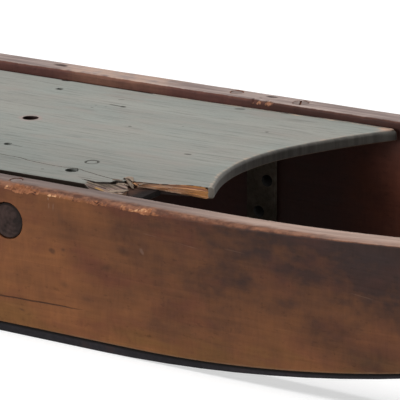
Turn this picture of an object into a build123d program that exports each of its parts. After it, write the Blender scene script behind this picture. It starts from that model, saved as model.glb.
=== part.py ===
from build123d import *
from math import acos, asin, atan2, cos, degrees, hypot, radians, sin, sqrt
import os

# Child's wooden sled: two plank runners shod with iron, tied together by tenoned cross bars and
# a nose rung, with a painted deck board let in between the planks and nailed to the bars.
# Frame: X forward to the upswept noses, Y to the sled's left, Z up. The origin is on the floor
# under the middle of the sled's length and width. All sizes are in millimetres.

# Overall sizes
overall_length = 963.0  # iron heel to iron nose
inner_width = 288.0  # between the inner faces of the two planks
runner_height = 114.0  # floor to the level stretch of the planks' top edge

# Runner planks, seen from the side
runner_thickness = 22.0
sweep_start_x = 112.5  # where the running edge leaves the floor
sweep_radius = 1180.0  # long forward sweep of the running edge
nose_radius = 120.0  # tighter curve that closes the nose
nose_tip_radius = 12.0
top_rise_start_x = 193.5  # where the top edge begins to rise to the nose
top_rise_radius = 2224.0
heel_radius = 45.0
tail_corner_radius = 50.0
eased_edge = 2.0  # rounding of the planks' long edges

# Iron shoes under the planks
shoe_thickness = 7.5  # under the flat and round the heel
shoe_nose_thickness = 3.6  # drawn thinner along the sweep to the nose
shoe_taper_lag = 27.5  # the wood leaves the level so far ahead of where the iron leaves the floor
shoe_side_inset = 0.3  # from the plank's faces
shoe_edge_radius = 1.2
shoe_end_angle = -21.0  # degrees on the nose curve, where the iron ends below the tip
shoe_bedding = 0.2  # gap between iron and wood

# Deck board, with a scooped front edge
deck_thickness = 9.0
deck_recess = 7.6  # below the planks' top edge
deck_side_gap = 3.5  # between the board's own edge and the plank
deck_tail_setback = 54.0  # from the iron's rear end forward to the deck's tail
deck_corner_radius = 8.0
scoop_apex_x = 134.5
scoop_middle_radius = 150.0
scoop_middle_half_width = 55.0
scoop_flank_radius = 420.0
horn_corner_radius = 5.0
deck_hole_radius = 6.6
deck_hole_x = -81.0
deck_hole_y = 22.5

# Damage to the deck's right side: an outer strip is gone, the next one is split off and snapped
lost_strip_width = 25.5
split_width = 0.8
snapped_end_x = 66.0  # where the split strip's outer edge ends
break_front_offset = 10.0  # the broken edge ends this much left of where it starts
break_length = 64.0  # from the start of the broken edge to the scooped front edge
SPLIT_POINTS = (  # x, y inwards from the board's own right edge, along the split to the broken edge
    (-330.0, 66.5),
    (-150.0, 63.5),
    (-37.5, 61.9),
    (34.0, 54.5),
    (88.0, 51.0),
)
SNAPPED_END = (  # x past the snapped end, y inwards from the strip's outer edge: it leans out
    (0.0, 0.0),
    (10.0, -6.0),
    (34.0, -10.0),
    (37.0, 1.0),
    (30.0, 10.0),
    (18.0, 17.5),
    (4.0, 14.5),
    (-6.0, 16.5),
    (20.0, 21.0),
)
ledge_length = 48.0  # of the strip's lower layer, left past the snapped end
ledge_thickness = 4.4
ledge_inset = 5.0  # of its outer edge from the strip's

# Cross bars with round tenons through the planks
front_bar_x = 32.2
rear_bar_inset = 100.0  # forward from the deck's tail
bar_width = 34.0
bar_height = 25.0
bar_chamfer = 5.0
tenon_radius = 13.0
tenon_drop = 11.0  # tenon axis below the bar's top face
tenon_setback = 0.8  # tenon ends below the plank's outer face
tenon_clearance = 0.2

# Turned rung between the noses
rung_setback = 70.0  # behind the iron's nose end
rung_axis_height = 86.0
rung_middle_radius = 15.0
rung_shoulder_radius = 12.0
rung_tenon_radius = 10.0

# Tow rope holes through the noses
rope_hole_radius = 7.0
rope_hole_setback = 36.0
rope_hole_height = 104.0

# Iron straps screwed upright to the planks' inner faces, against splitting
strap_x = 63.5
strap_width = 26.0
strap_thickness = 4.0
strap_foot_height = 12.0
strap_head_gap = 1.5  # below the deck
strap_corner_radius = 4.0

# Places that follow from the sizes above
front_x = overall_length / 2
rear_x = -overall_length / 2
deck_top_z = runner_height - deck_recess
deck_under_z = deck_top_z - deck_thickness
tenon_z = deck_under_z - tenon_drop
deck_half_width = inner_width / 2 - deck_side_gap
runner_y = inner_width / 2 + runner_thickness / 2
SIDES = (("right", -1), ("left", 1))  # name, sign of y

deck_rear_x = rear_x + deck_tail_setback
rear_bar_x = deck_rear_x + rear_bar_inset
CROSS_BARS = (  # name, x
    ("cross_bar_front", front_bar_x),
    ("cross_bar_middle", (front_bar_x + rear_bar_x) / 2),
    ("cross_bar_rear", rear_bar_x),
)

rung_x = front_x - rung_setback
rope_hole_x = front_x - rope_hole_setback

# Centres of the planks' side curves: the nose circle touches the iron's sweep circle from inside
heel_centre = (rear_x + heel_radius, heel_radius)
wood_sweep_start_x = sweep_start_x + shoe_taper_lag
nose_centre_x = front_x - nose_radius * cos(radians(shoe_end_angle))
nose_centre_drop = sqrt((sweep_radius - nose_radius) ** 2 - (nose_centre_x - sweep_start_x) ** 2)
nose_centre = (nose_centre_x, sweep_radius - nose_centre_drop)
top_rise_centre = (top_rise_start_x, runner_height + top_rise_radius)


def angle_of(centre, point):
    """Direction from centre to point, in degrees."""
    return degrees(atan2(point[1] - centre[1], point[0] - centre[0]))


def point_on(centre, radius, angle):
    """Point of a circle at an angle in degrees."""
    return (centre[0] + radius * cos(radians(angle)), centre[1] + radius * sin(radians(angle)))


def arc(centre, radius, start, end):
    """Circular edge between two angles in degrees."""
    return CenterArc(centre, radius, start, end - start)


def circles_meet(centre_a, radius_a, centre_b, radius_b):
    """The forward one of the two points where two circles cross."""
    distance = hypot(centre_b[0] - centre_a[0], centre_b[1] - centre_a[1])
    towards_b = angle_of(centre_a, centre_b)
    half_spread = degrees(acos((radius_a**2 - radius_b**2 + distance**2) / (2 * distance * radius_a)))
    return max(point_on(centre_a, radius_a, towards_b + turn) for turn in (-half_spread, half_spread))


def running_edge(inset, nose_inset, start_x, nose_end):
    """Heel, flat, sweep and nose of a running edge that lies so far inside the floor line.

    The sweep leaves the flat at start_x with the radius that lets it touch the nose circle from inside.
    """
    nose_size = nose_radius - nose_inset
    ahead = nose_centre[0] - start_x
    rise = nose_centre[1] - inset
    radius = (ahead**2 + rise**2 - nose_size**2) / (2 * (rise - nose_size))
    centre = (start_x, inset + radius)
    nose_joint = angle_of(centre, nose_centre)
    return [
        arc(heel_centre, heel_radius - inset, 180, 270),
        Line((heel_centre[0], inset), (start_x, inset)),
        arc(centre, radius, -90, nose_joint),
        arc(nose_centre, nose_size, nose_joint, nose_end),
    ]


def upright_solid(edges, thickness, centre_y):
    """Board of even thickness with a side outline given in x and z."""
    board = extrude(Plane.XZ * make_face(edges), amount=thickness / 2, both=True)
    return Pos(0, centre_y, 0) * board


def crosswise_cylinder(x, z, radius, centre_y, length):
    """Cylinder along Y, for a bore or a tenon."""
    return Pos(x, centre_y, z) * Rot(X=90) * Cylinder(radius, length)


def runner_outline():
    """Side outline of a plank: running edge, rounded tip, rising top edge and rounded tail."""
    wood_nose_radius = nose_radius - shoe_nose_thickness
    tip_centre = circles_meet(
        nose_centre, wood_nose_radius - nose_tip_radius, top_rise_centre, top_rise_radius + nose_tip_radius
    )
    tip_start = angle_of(nose_centre, tip_centre)
    top_end = angle_of(top_rise_centre, tip_centre)
    tail_x = rear_x + shoe_thickness
    corner_centre = (tail_x + tail_corner_radius, runner_height - tail_corner_radius)
    return [
        *running_edge(shoe_thickness, shoe_nose_thickness, wood_sweep_start_x, tip_start),
        arc(tip_centre, nose_tip_radius, tip_start, top_end + 180),
        arc(top_rise_centre, top_rise_radius, top_end, -90),
        Line((top_rise_start_x, runner_height), (corner_centre[0], runner_height)),
        arc(corner_centre, tail_corner_radius, 90, 180),
        Line((tail_x, corner_centre[1]), (tail_x, heel_centre[1])),
    ]


def make_runner(side):
    """Plank with eased edges, bored for the bars' and the rung's tenons and for the tow rope."""
    plank = upright_solid(runner_outline(), runner_thickness, side * runner_y)
    plank = fillet(plank.edges() - plank.edges().filter_by(Axis.Y), eased_edge)
    bores = [(bar_x, tenon_z, tenon_radius + tenon_clearance) for _, bar_x in CROSS_BARS]
    bores.append((rung_x, rung_axis_height, rung_tenon_radius + tenon_clearance))
    bores.append((rope_hole_x, rope_hole_height, rope_hole_radius))
    for x, z, radius in bores:
        plank -= crosswise_cylinder(x, z, radius, side * runner_y, 2 * runner_thickness)
    return plank


def make_shoe(side):
    """Flat iron with rounded lower edges, bent to the running edge from heel to nose and drawn thinner there."""
    wood_side = shoe_thickness - shoe_bedding
    nose_wood_side = shoe_nose_thickness - shoe_bedding
    ends = [
        Line(
            point_on(nose_centre, nose_radius, shoe_end_angle),
            point_on(nose_centre, nose_radius - nose_wood_side, shoe_end_angle),
        ),
        Line((rear_x, heel_centre[1]), (rear_x + wood_side, heel_centre[1])),
    ]
    floor_line = running_edge(0, 0, sweep_start_x, shoe_end_angle)
    wood_line = running_edge(wood_side, nose_wood_side, wood_sweep_start_x, shoe_end_angle)
    shoe_width = runner_thickness - 2 * shoe_side_inset
    iron = upright_solid(floor_line + wood_line + ends, shoe_width, side * runner_y)
    floor_edges = iron.edges().filter_by(Axis.X).group_by(Axis.Z)[0]
    return fillet(floor_edges, shoe_edge_radius)


def whole_deck_face():
    """The deck board as it was cut: straight sides, rounded tail corners, a scooped front of three arcs."""
    middle_centre = (scoop_apex_x + scoop_middle_radius, 0)
    turn = degrees(asin(scoop_middle_half_width / scoop_middle_radius))
    edges = [
        arc(middle_centre, scoop_middle_radius, 180 - turn, 180 + turn),
        Line((deck_rear_x, -deck_half_width), (deck_rear_x, deck_half_width)),
    ]
    for _, side in SIDES:
        side_y = side * deck_half_width
        joint = 180 - side * turn
        flank_centre = point_on(middle_centre, scoop_middle_radius - scoop_flank_radius, joint)
        horn = 180 - degrees(asin((side_y - flank_centre[1]) / scoop_flank_radius))
        horn_x = point_on(flank_centre, scoop_flank_radius, horn)[0]
        edges.append(arc(flank_centre, scoop_flank_radius, joint, horn))
        edges.append(Line((horn_x, side_y), (deck_rear_x, side_y)))
    face = make_face(edges)
    face = fillet(face.vertices().group_by(Axis.X)[0], deck_corner_radius)
    return fillet(face.vertices().group_by(Axis.X)[-1], horn_corner_radius)


def split_line(shift):
    """Points of the split, from behind the tail to the broken edge, moved to the left by shift."""
    tail = (deck_rear_x - deck_corner_radius, SPLIT_POINTS[0][1])
    return [(x, shift - deck_half_width + inwards) for x, inwards in (tail, *SPLIT_POINTS)]


def board_solid(face, thickness=deck_thickness):
    """A face of the deck given its thickness, upwards from the deck's underside."""
    return extrude(Pos(0, 0, deck_under_z) * face, amount=thickness)


def make_deck_board():
    """What is left of the deck on the left of the split, with the old bolt hole."""
    split = split_line(split_width / 2)
    break_x, break_y = split[-1]
    clear_of_deck = 2 * deck_half_width
    kept = [
        *split,
        (break_x + break_length, break_y + break_front_offset),
        (break_x + clear_of_deck, break_y + break_front_offset),
        (break_x + clear_of_deck, clear_of_deck),
        (split[0][0], clear_of_deck),
    ]
    board = board_solid(whole_deck_face() & make_face(Polyline(*kept, close=True)))
    hole = Pos(deck_hole_x, deck_hole_y, deck_under_z) * Cylinder(deck_hole_radius, 4 * deck_thickness)
    return board - hole


def make_deck_split_strip():
    """The strip on the right of the split, its snapped end leaning out over a ledge of its lower layer."""
    edge_y = -deck_half_width + lost_strip_width
    split = split_line(-split_width / 2)
    snapped = [(snapped_end_x + past, edge_y + inwards) for past, inwards in SNAPPED_END]
    outline = [*split, *reversed(snapped), (split[0][0], edge_y)]
    strip = board_solid(make_face(Polyline(*outline, close=True)) & whole_deck_face())

    break_x, break_y = split[-1]
    ledge_end_x = snapped_end_x + ledge_length
    ledge_end_y = break_y + break_front_offset * (ledge_end_x - break_x) / break_length
    ledge_start_x, ledge_start_y = split[-2]
    ledge_y = edge_y + ledge_inset
    ledge = [
        (ledge_start_x, ledge_start_y),
        (break_x, break_y),
        (ledge_end_x, ledge_end_y),
        (ledge_end_x, ledge_y),
        (ledge_start_x, ledge_y),
    ]
    return strip + board_solid(make_face(Polyline(*ledge, close=True)), ledge_thickness)


def make_cross_bar(bar_x):
    """Bar with chamfered lower edges and a round tenon at each end."""
    bar = Pos(bar_x, 0, deck_under_z - bar_height / 2) * Box(bar_width, inner_width, bar_height)
    lower_edges = bar.edges().filter_by(Axis.Y).sort_by(Axis.Z)[:2]
    bar = chamfer(lower_edges, bar_chamfer)
    tenon_length = runner_thickness - tenon_setback
    for _, side in SIDES:
        tenon_y = side * (inner_width + tenon_length) / 2
        bar += crosswise_cylinder(bar_x, tenon_z, tenon_radius, tenon_y, tenon_length)
    return bar


def make_nose_rung():
    """Turned rung, fullest in the middle, with a round tenon at each end."""
    shoulder_y = inner_width / 2
    end_y = shoulder_y + runner_thickness - tenon_setback
    half = [
        Line((-end_y, 0), (end_y, 0)),
        ThreePointArc(
            (-shoulder_y, rung_shoulder_radius), (0, rung_middle_radius), (shoulder_y, rung_shoulder_radius)
        ),
    ]
    for _, side in SIDES:
        half.append(Polyline(
            (side * shoulder_y, rung_shoulder_radius),
            (side * shoulder_y, rung_tenon_radius),
            (side * end_y, rung_tenon_radius),
            (side * end_y, 0),
        ))
    turned = revolve(make_face(half), Axis.X)
    return Pos(rung_x, 0, rung_axis_height) * Rot(Z=90) * turned


def make_strap(side):
    """Upright flat iron with rounded corners, against the plank's inner face."""
    height = deck_under_z - strap_head_gap - strap_foot_height
    face = RectangleRounded(strap_width, height, strap_corner_radius)
    iron = extrude(Plane.XZ * face, amount=strap_thickness / 2, both=True)
    return Pos(strap_x, side * (inner_width - strap_thickness) / 2, strap_foot_height + height / 2) * iron


def make_all():
    """Every piece by its node name."""
    pieces = {"deck_board": make_deck_board(), "deck_split_strip": make_deck_split_strip()}
    pieces["nose_rung"] = make_nose_rung()
    for name, bar_x in CROSS_BARS:
        pieces[name] = make_cross_bar(bar_x)
    for name, side in SIDES:
        pieces[f"runner_{name}"] = make_runner(side)
        pieces[f"shoe_{name}"] = make_shoe(side)
        pieces[f"strap_{name}"] = make_strap(side)
    return pieces


os.makedirs("parts", exist_ok=True)
for node, piece in make_all().items():
    export_step(piece, f"parts/{node}.step")
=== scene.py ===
"""Looks of the wooden sled: worn planks, a split and painted deck, irons, nails and splinters.

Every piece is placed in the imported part's frame: X forward, Y to the sled's left, Z up, the origin on
the floor. Shapes are worked out in millimetres, and become metres when their mesh is made.
"""

import math

import bpy
import numpy as np
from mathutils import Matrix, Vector


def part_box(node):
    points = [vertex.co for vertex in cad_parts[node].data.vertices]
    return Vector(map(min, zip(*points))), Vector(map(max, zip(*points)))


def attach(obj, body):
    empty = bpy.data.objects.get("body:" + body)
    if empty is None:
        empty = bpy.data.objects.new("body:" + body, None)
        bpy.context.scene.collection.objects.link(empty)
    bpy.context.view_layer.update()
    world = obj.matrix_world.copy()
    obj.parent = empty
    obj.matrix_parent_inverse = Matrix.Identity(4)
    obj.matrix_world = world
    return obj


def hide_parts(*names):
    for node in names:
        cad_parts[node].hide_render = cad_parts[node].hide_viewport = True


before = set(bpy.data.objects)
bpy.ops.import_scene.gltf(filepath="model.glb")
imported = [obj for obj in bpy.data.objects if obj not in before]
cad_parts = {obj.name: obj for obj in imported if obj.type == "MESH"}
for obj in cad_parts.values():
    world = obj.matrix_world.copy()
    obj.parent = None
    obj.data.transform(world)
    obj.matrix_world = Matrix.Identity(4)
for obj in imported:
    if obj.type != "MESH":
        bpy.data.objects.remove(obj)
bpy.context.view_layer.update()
MM = 0.001


# Sizes of the part, from the frame where it gives them
def box_mm(node):
    """Lowest and highest corner of a CAD node in millimetres."""
    low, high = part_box(node)
    return np.array(low) / MM, np.array(high) / MM


SHOE_LOW, SHOE_HIGH = box_mm("shoe_right")
DECK_LOW, DECK_HIGH = box_mm("deck_board")
RUNNER_LOW, RUNNER_HIGH = box_mm("runner_left")
REAR_X, FRONT_X = SHOE_LOW[0], SHOE_HIGH[0]
RUNNER_INNER_Y, RUNNER_OUTER_Y = RUNNER_LOW[1], RUNNER_HIGH[1]
DECK_UNDER_Z, DECK_TOP_Z = DECK_LOW[2], DECK_HIGH[2]
DECK_REAR_X = DECK_LOW[0]
DECK_HALF_WIDTH = DECK_HIGH[1]
STRAP_FACE_Y = box_mm("strap_left")[0][1]
BAR_XS = [sum(box_mm(f"cross_bar_{name}"))[0] / 2 for name in ("front", "middle", "rear")]

RUNNER_HEIGHT = 114.0  # floor to the level stretch of the planks' top edge
SHOE_THICKNESS = 7.5
SHOE_NOSE_THICKNESS = 3.6
HEEL_RADIUS = 45.0
SWEEP_START_X = 112.5
SWEEP_RADIUS = 1180.0
WOOD_SWEEP_START_X = 140.0
NOSE_RADIUS = 120.0
NOSE_TIP_RADIUS = 12.0
SHOE_END_ANGLE = -21.0
TOP_RISE_START_X = 193.5
TOP_RISE_RADIUS = 2224.0
TAIL_CORNER_RADIUS = 50.0
EASED_EDGE = 2.0
EASED_FOOT = 0.8  # along the running edge

SCOOP_APEX_X = 134.5
SCOOP_MIDDLE_RADIUS = 150.0
SCOOP_MIDDLE_HALF_WIDTH = 55.0
SCOOP_FLANK_RADIUS = 420.0
HORN_CORNER_RADIUS = 5.0
DECK_CORNER_RADIUS = 8.0
DECK_HOLE = (-81.0, 22.5)  # x, y
DECK_HOLE_RADIUS = 6.6
SPLIT_HALF_WIDTH = 0.4
BROKEN_EDGE = np.array([  # x, y along the broken edge, from the end of the split to the front
    (88.0, -91.4), (97.0, -91.2), (107.3, -90.1), (116.4, -87.0), (125.7, -84.4), (132.0, -81.6),
    (137.1, -79.4), (144.8, -77.4), (150.2, -77.7), (153.4, -75.2),
])
BREAK_START_X, BREAK_END_X = BROKEN_EDGE[0, 0], BROKEN_EDGE[-1, 0]
BOW_START_X = -40.0  # from here to its front the deck is bowed up
BOW_LENGTH = 226.0
BOW_RISE = 2.5
BOW_POWER = 1.3
RINGED_NAIL = (36.4, -62.0)  # x, y of the nail with a dark ring round its head
HORN_TIP = (186.0, 140.5)  # x, y of the deck's left front corner
TIP_WEAR_X = (142.0, 180.0)  # the far edge's wear at that corner, from none to full
FRESH_END_X = (149.8, 150.6)  # where the fresh wood of the broken edge ends
UNDERCUT_X = (112.0, 148.0)  # how far the break is cut in below, from full to none
TORN_OUTSIDE_X = 75.0  # ahead of these two, the strip's outer and inner edges are torn
TORN_INSIDE_X = 62.0
TEAR_START_X = 58.0  # where the paint ends on the strip's snapped end
TEAR_SLANT = 0.4  # how far the torn grain runs to the right with each millimetre forward
STRIP_EDGE_Y = -115.0
LEDGE_TOP_Z = DECK_UNDER_Z + 4.4
LEDGE_END_X = 114.0

TENON_Z = 86.4
TENON_HOLE_RADIUS = 14.1  # worn wider than the tenon, which lies against one side of its hole
TENON_HOLE_SHIFT = (-0.3, -0.1)  # x, z
RUNG_X, RUNG_Z = 411.5, 86.0
RUNG_HOLE_RADIUS = 10.2
ROPE_HOLE_X, ROPE_HOLE_Z = 445.5, 104.0
ROPE_HOLE_RADIUS = 7.0

NOSE_X = FRONT_X - NOSE_RADIUS * math.cos(math.radians(SHOE_END_ANGLE))
NOSE_Z = SWEEP_RADIUS - math.sqrt((SWEEP_RADIUS - NOSE_RADIUS) ** 2 - (NOSE_X - SWEEP_START_X) ** 2)
WOOD_NOSE_RADIUS = NOSE_RADIUS - SHOE_NOSE_THICKNESS
WOOD_SWEEP_RADIUS = (  # the circle that leaves the wood's level edge and touches its nose from outside
    (NOSE_X - WOOD_SWEEP_START_X) ** 2 + (NOSE_Z - SHOE_THICKNESS) ** 2 - WOOD_NOSE_RADIUS**2
) / (2 * (NOSE_Z - SHOE_THICKNESS - WOOD_NOSE_RADIUS))


# Curves and grids
def arc(centre, radius, start, end, count=160):
    """Points of a circle between two angles in degrees."""
    angle = np.radians(np.linspace(start, end, count))
    return np.stack([centre[0] + radius * np.cos(angle), centre[1] + radius * np.sin(angle)], axis=1)


def spaced(runs, shares):
    """Points at the given shares of the length of runs of points laid end to end."""
    line = np.concatenate([np.atleast_2d(np.asarray(run, float)) for run in runs])
    step = np.linalg.norm(np.diff(line, axis=0), axis=1)
    line = line[np.concatenate([[True], step > 1e-6])]
    reach = np.concatenate([[0], np.cumsum(np.linalg.norm(np.diff(line, axis=0), axis=1))])
    return np.stack([np.interp(shares * reach[-1], reach, column) for column in line.T], axis=1)


def crowded(count):
    """Shares from 0 to 1 that crowd towards both ends: half of 1 - cos."""
    return 0.5 - 0.5 * np.cos(np.pi * np.linspace(0, 1, count))


WANDER_COUNT = 4096  # heights of a random line before it repeats


def wander(place, pitch, seed):
    """Smooth random line from -1 to 1: random heights every pitch, joined by smoothstep curves."""
    heights = np.random.default_rng(seed).uniform(-1, 1, WANDER_COUNT)
    cell = np.floor(place / pitch).astype(int)
    share = place / pitch - cell
    share = share * share * (3 - 2 * share)
    return heights[cell % WANDER_COUNT] * (1 - share) + heights[(cell + 1) % WANDER_COUNT] * share


def filled(sides, u, v, power=1):
    """Coons grid of four sides: the ruled surface of two, and what the ends depart from their chords.

    That departure fades along u as a power of the share that is left: 1 is the plain Coons grid.
    """
    low, high, start, end = sides
    u = u[:, None, None]
    v = v[None, :, None]
    ruled = (1 - v) * low[:, None] + v * high[:, None]
    return ruled + (1 - u) ** power * (start - ruled[0]) + u**power * (end - ruled[-1])


def rim_of(grid):
    """Closed loop round a grid: along its low side, its end, back along its high side and its start."""
    return np.concatenate([grid[:-1, 0], grid[-1, :-1], grid[:0:-1, -1], grid[0, :0:-1]])


def sides_of(rim, n, m):
    """The four sides that a closed loop of an n by m grid was made from."""
    closed = np.concatenate([rim, rim[:1]])
    low = closed[:n]
    end = closed[n - 1:n + m - 1]
    high = closed[n + m - 2:2 * n + m - 2][::-1]
    start = closed[2 * n + m - 3:][::-1]
    return low, high, start, end


def grid_quads(index, wrap=False):
    """Quads between the neighbours of a grid of vertex numbers, closed on itself along its columns."""
    if wrap:
        index = np.concatenate([index, index[:, :1]], axis=1)
    return np.stack([index[:-1, :-1], index[1:, :-1], index[1:, 1:], index[:-1, 1:]], axis=-1).reshape(-1, 4)


def outwards(points, blocks):
    """Blocks of equal faces, turned so that the closed shell they make has a volume above zero."""
    volume = 0.0
    for block in blocks:
        for corner in range(1, block.shape[1] - 1):
            a, b, c = (points[block[:, number]] for number in (0, corner, corner + 1))
            volume += np.einsum("ij,ij->", np.cross(a, b), c)
    return blocks if volume > 0 else [block[:, ::-1] for block in blocks]


def skin(rings, first, last):
    """Closed shell over rings of points, with a pole beyond the first ring and one beyond the last."""
    count, around = rings.shape[:2]
    points = np.concatenate([rings.reshape(-1, 3), [first], [last]])
    index = np.arange(count * around).reshape(count, around)
    poles = np.full((2, around), count * around) + np.array([[0], [1]])
    blocks = [
        grid_quads(index, wrap=True),
        np.stack([poles[0], index[0], np.roll(index[0], -1)], axis=1),
        np.stack([poles[1], np.roll(index[-1], -1), index[-1]], axis=1),
    ]
    return points, outwards(points, blocks)


def turned(centre, axis, profile, around=32):
    """Shell of a profile of radius and height, from pole to pole, turned round an axis through a centre."""
    profile = np.array(profile, float)
    turn = np.linspace(0, 2 * np.pi, around, endpoint=False)
    rings = np.zeros((len(profile), around, 3))
    rings[..., (axis + 1) % 3] = profile[:, :1] * np.cos(turn)
    rings[..., (axis + 2) % 3] = profile[:, :1] * np.sin(turn)
    rings[..., axis] = profile[:, 1:]
    rings += np.array(centre)
    return skin(rings[1:-1], rings[0, 0], rings[-1, 0])


def drill(centre, axis, radius, low, high):
    """Cylinder along an axis, from low to high of its centre: a cutter for a bore."""
    return turned(centre, axis, [(0, low), (radius, low), (radius, high), (0, high)], 64)


SLIVER_STEPS = 14
SLIVER_CORNERS = np.radians([0, 50, 130, 180, 230, 310])  # of the section, round its flat ellipse


def sliver(path, widths, thickness):
    """Splinter: a flat six-sided section carried along a bent path, its width given from end to end."""
    share = np.linspace(0, 1, SLIVER_STEPS)
    knots = np.linspace(0, 1, len(path))
    line = np.stack([np.interp(share, knots, column) for column in np.transpose(path)], axis=1)
    line[1:-1] = (line[:-2] + 2 * line[1:-1] + line[2:]) / 4
    along = np.gradient(line, axis=0)
    across = np.cross(np.array([0.0, 0.0, 1.0]), along)
    across /= np.linalg.norm(across, axis=1)[:, None]
    up = np.cross(along, across)
    up /= np.linalg.norm(up, axis=1)[:, None]
    width = np.interp(share, np.linspace(0, 1, len(widths)), widths)[:, None, None] / 2
    rings = line[:, None] + width * np.cos(SLIVER_CORNERS)[None, :, None] * across[:, None]
    rings = rings + thickness / 2 * np.sin(SLIVER_CORNERS)[None, :, None] * up[:, None]
    return skin(rings, line[0] - 0.2 * along[0], line[-1] + 0.2 * along[-1])


def box_shell(low, high):
    """Shell of a box between two corners."""
    low, high = np.array(low, float), np.array(high, float)
    corners = np.array([(0, 0), (1, 0), (1, 1), (0, 1)])
    rings = np.zeros((2, 4, 3))
    rings[..., :2] = low[:2] + corners * (high - low)[:2]
    rings[..., 2] = np.array([[low[2]], [high[2]]])
    points = rings.reshape(-1, 3)
    index = np.arange(8).reshape(2, 4)
    return points, outwards(points, [grid_quads(index, wrap=True), index[:1], index[1:, ::-1]])


def gathered(shells):
    """Several shells as one set of points and faces."""
    points = np.concatenate([shell[0] for shell in shells])
    faces = []
    before = 0
    for shell_points, blocks in shells:
        faces += [block + before for block in blocks]
        before += len(shell_points)
    return points, faces


# Meshes
SHARP_ANGLE = 35.0  # degrees from which the edge between two faces shows as an edge


def placed(name, data):
    """A new object in the scene."""
    thing = bpy.data.objects.new(name, data)
    bpy.context.scene.collection.objects.link(thing)
    return thing


def mesh_of(name, points, blocks):
    """Mesh of points in millimetres and blocks of faces."""
    mesh = bpy.data.meshes.new(name)
    mesh.from_pydata((points * MM).tolist(), [], [face for block in blocks for face in block.tolist()])
    return mesh


def new_piece(name, shell, material, node=None, attributes=None):
    """Object of a closed shell, which rides on the sled and may stand for a CAD node."""
    mesh = mesh_of(name, *shell)
    for key, values in (attributes or {}).items():
        mesh.attributes.new(key, "FLOAT", "POINT").data.foreach_set("value", values.astype(np.float32))
    mesh.validate()
    mesh.shade_smooth()
    mesh.set_sharp_from_angle(angle=math.radians(SHARP_ANGLE))
    mesh.materials.append(material)
    piece = placed(name, mesh)
    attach(piece, "root")
    if node:
        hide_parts(node)
    return piece


def carve(piece, cutters):
    """Takes the shells of the cutters out of a piece."""
    cutter = placed("cutter", mesh_of("cutter", *gathered(cutters)))
    cut = piece.modifiers.new("bores", "BOOLEAN")
    cut.object = cutter
    cut.operation = "DIFFERENCE"
    cut.solver = "EXACT"
    seen = piece.evaluated_get(bpy.context.evaluated_depsgraph_get())
    whole = piece.data
    piece.data = bpy.data.meshes.new_from_object(seen)
    piece.modifiers.clear()
    bpy.data.objects.remove(cutter)
    bpy.data.meshes.remove(whole)


# Boards with worn rims
LOW, END, HIGH, START = range(4)  # sides of a board, in the order of its rim


class Rounding:
    """Wear of a board's front or back edge at each point of its rim.

    How far the edge is rounded off, in the board's plane and into its thickness; how flat that rounding
    is cut, from 1, round, to 2, flat; and how bare the wood is there, from 0 to 1.
    """

    def __init__(self, count, eased):
        self.wide, self.deep = np.full((2, count), eased)
        self.cut = np.ones(count)
        self.bare = np.zeros(count)


class Edge:
    """Wear of a board's rim at each of its points.

    Its front and back edges; how ragged it is between them; and where it is weathered, rubbed, or old
    and painted dark as shade, each from 0 to 1. Chips are barest next to the face, breaks on the rim.
    """

    def __init__(self, n, m, eased, chipped=False):
        self.chipped = chipped
        self.side = np.repeat([LOW, END, HIGH, START], [n - 1, m - 1, n - 1, m - 1])
        count = len(self.side)
        self.front, self.back = Rounding(count, eased), Rounding(count, eased)
        self.ragged, self.weather, self.worn, self.old_and_shaded = np.zeros((4, count))

    def ease(self, where, eased):
        """Rounds both edges off alike at some points of the rim."""
        for rounding in (self.front, self.back):
            rounding.wide[where] = rounding.deep[where] = eased


QUARTER = 4  # steps in the rounding of an edge
RIM_STEPS = 4  # steps between the two roundings
ROUGH_PITCH = 7.0  # points of the rim between two heights of its raggedness
ROUGH_SEED = 40
WEAR_REACH = 3.5  # millimetres in which rubbed paint fades away from an edge
MITRE_REACH = 25.0  # the most of a side that is drawn in towards a mitred corner
MITRE_SHARE = 0.45  # the most of a short side that is drawn in
NO_CORNER = 0.9  # cosine of the turn from which two sides run on into each other


def mitred(rim, out, inset, n, m):
    """Rings inset from the rim of an n by m grid, mitred at its corners.

    Where the sides point out along a and b and are inset by i and j, a corner moves in by the vector
    whose share along a is i and along b is j, and both sides are drawn after it, less with each step.
    """
    rings = rim[None] - inset[..., None] * out[None]
    step = np.linalg.norm(np.roll(rim, -1, axis=0) - rim, axis=1)
    reach = np.concatenate([[0], np.cumsum(step)])
    corners = np.array([0, n - 1, n + m - 2, 2 * n + m - 3])
    lengths = np.diff(reach[np.append(corners, len(rim))])
    for number, corner in enumerate(corners):
        a, b = out[corner - 1], out[corner + 1]
        i, j = inset[:, corner - 1], inset[:, corner + 1]
        turn = a @ b
        if turn < NO_CORNER:
            shift = (np.outer(i, a - turn * b) + np.outer(j, b - turn * a)) / (1 - turn**2)
        else:
            shift = np.outer(i + j, a + b) / (2 + 2 * turn)
        ahead = (reach[:-1] - reach[corner]) % reach[-1]
        behind = (reach[corner] - reach[:-1]) % reach[-1]
        runs = ((ahead, lengths[number], b, j), (behind, lengths[number - 1], a, i))
        for away, length, side, depth in runs:
            draw = np.clip(1 - away / min(MITRE_REACH, MITRE_SHARE * length), 0, 1) * (away > 0)
            rings -= draw[None, :, None] * (shift - np.outer(depth, side))[:, None]
        rings[:, corner] = rim[corner] - shift
    return rings


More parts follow.
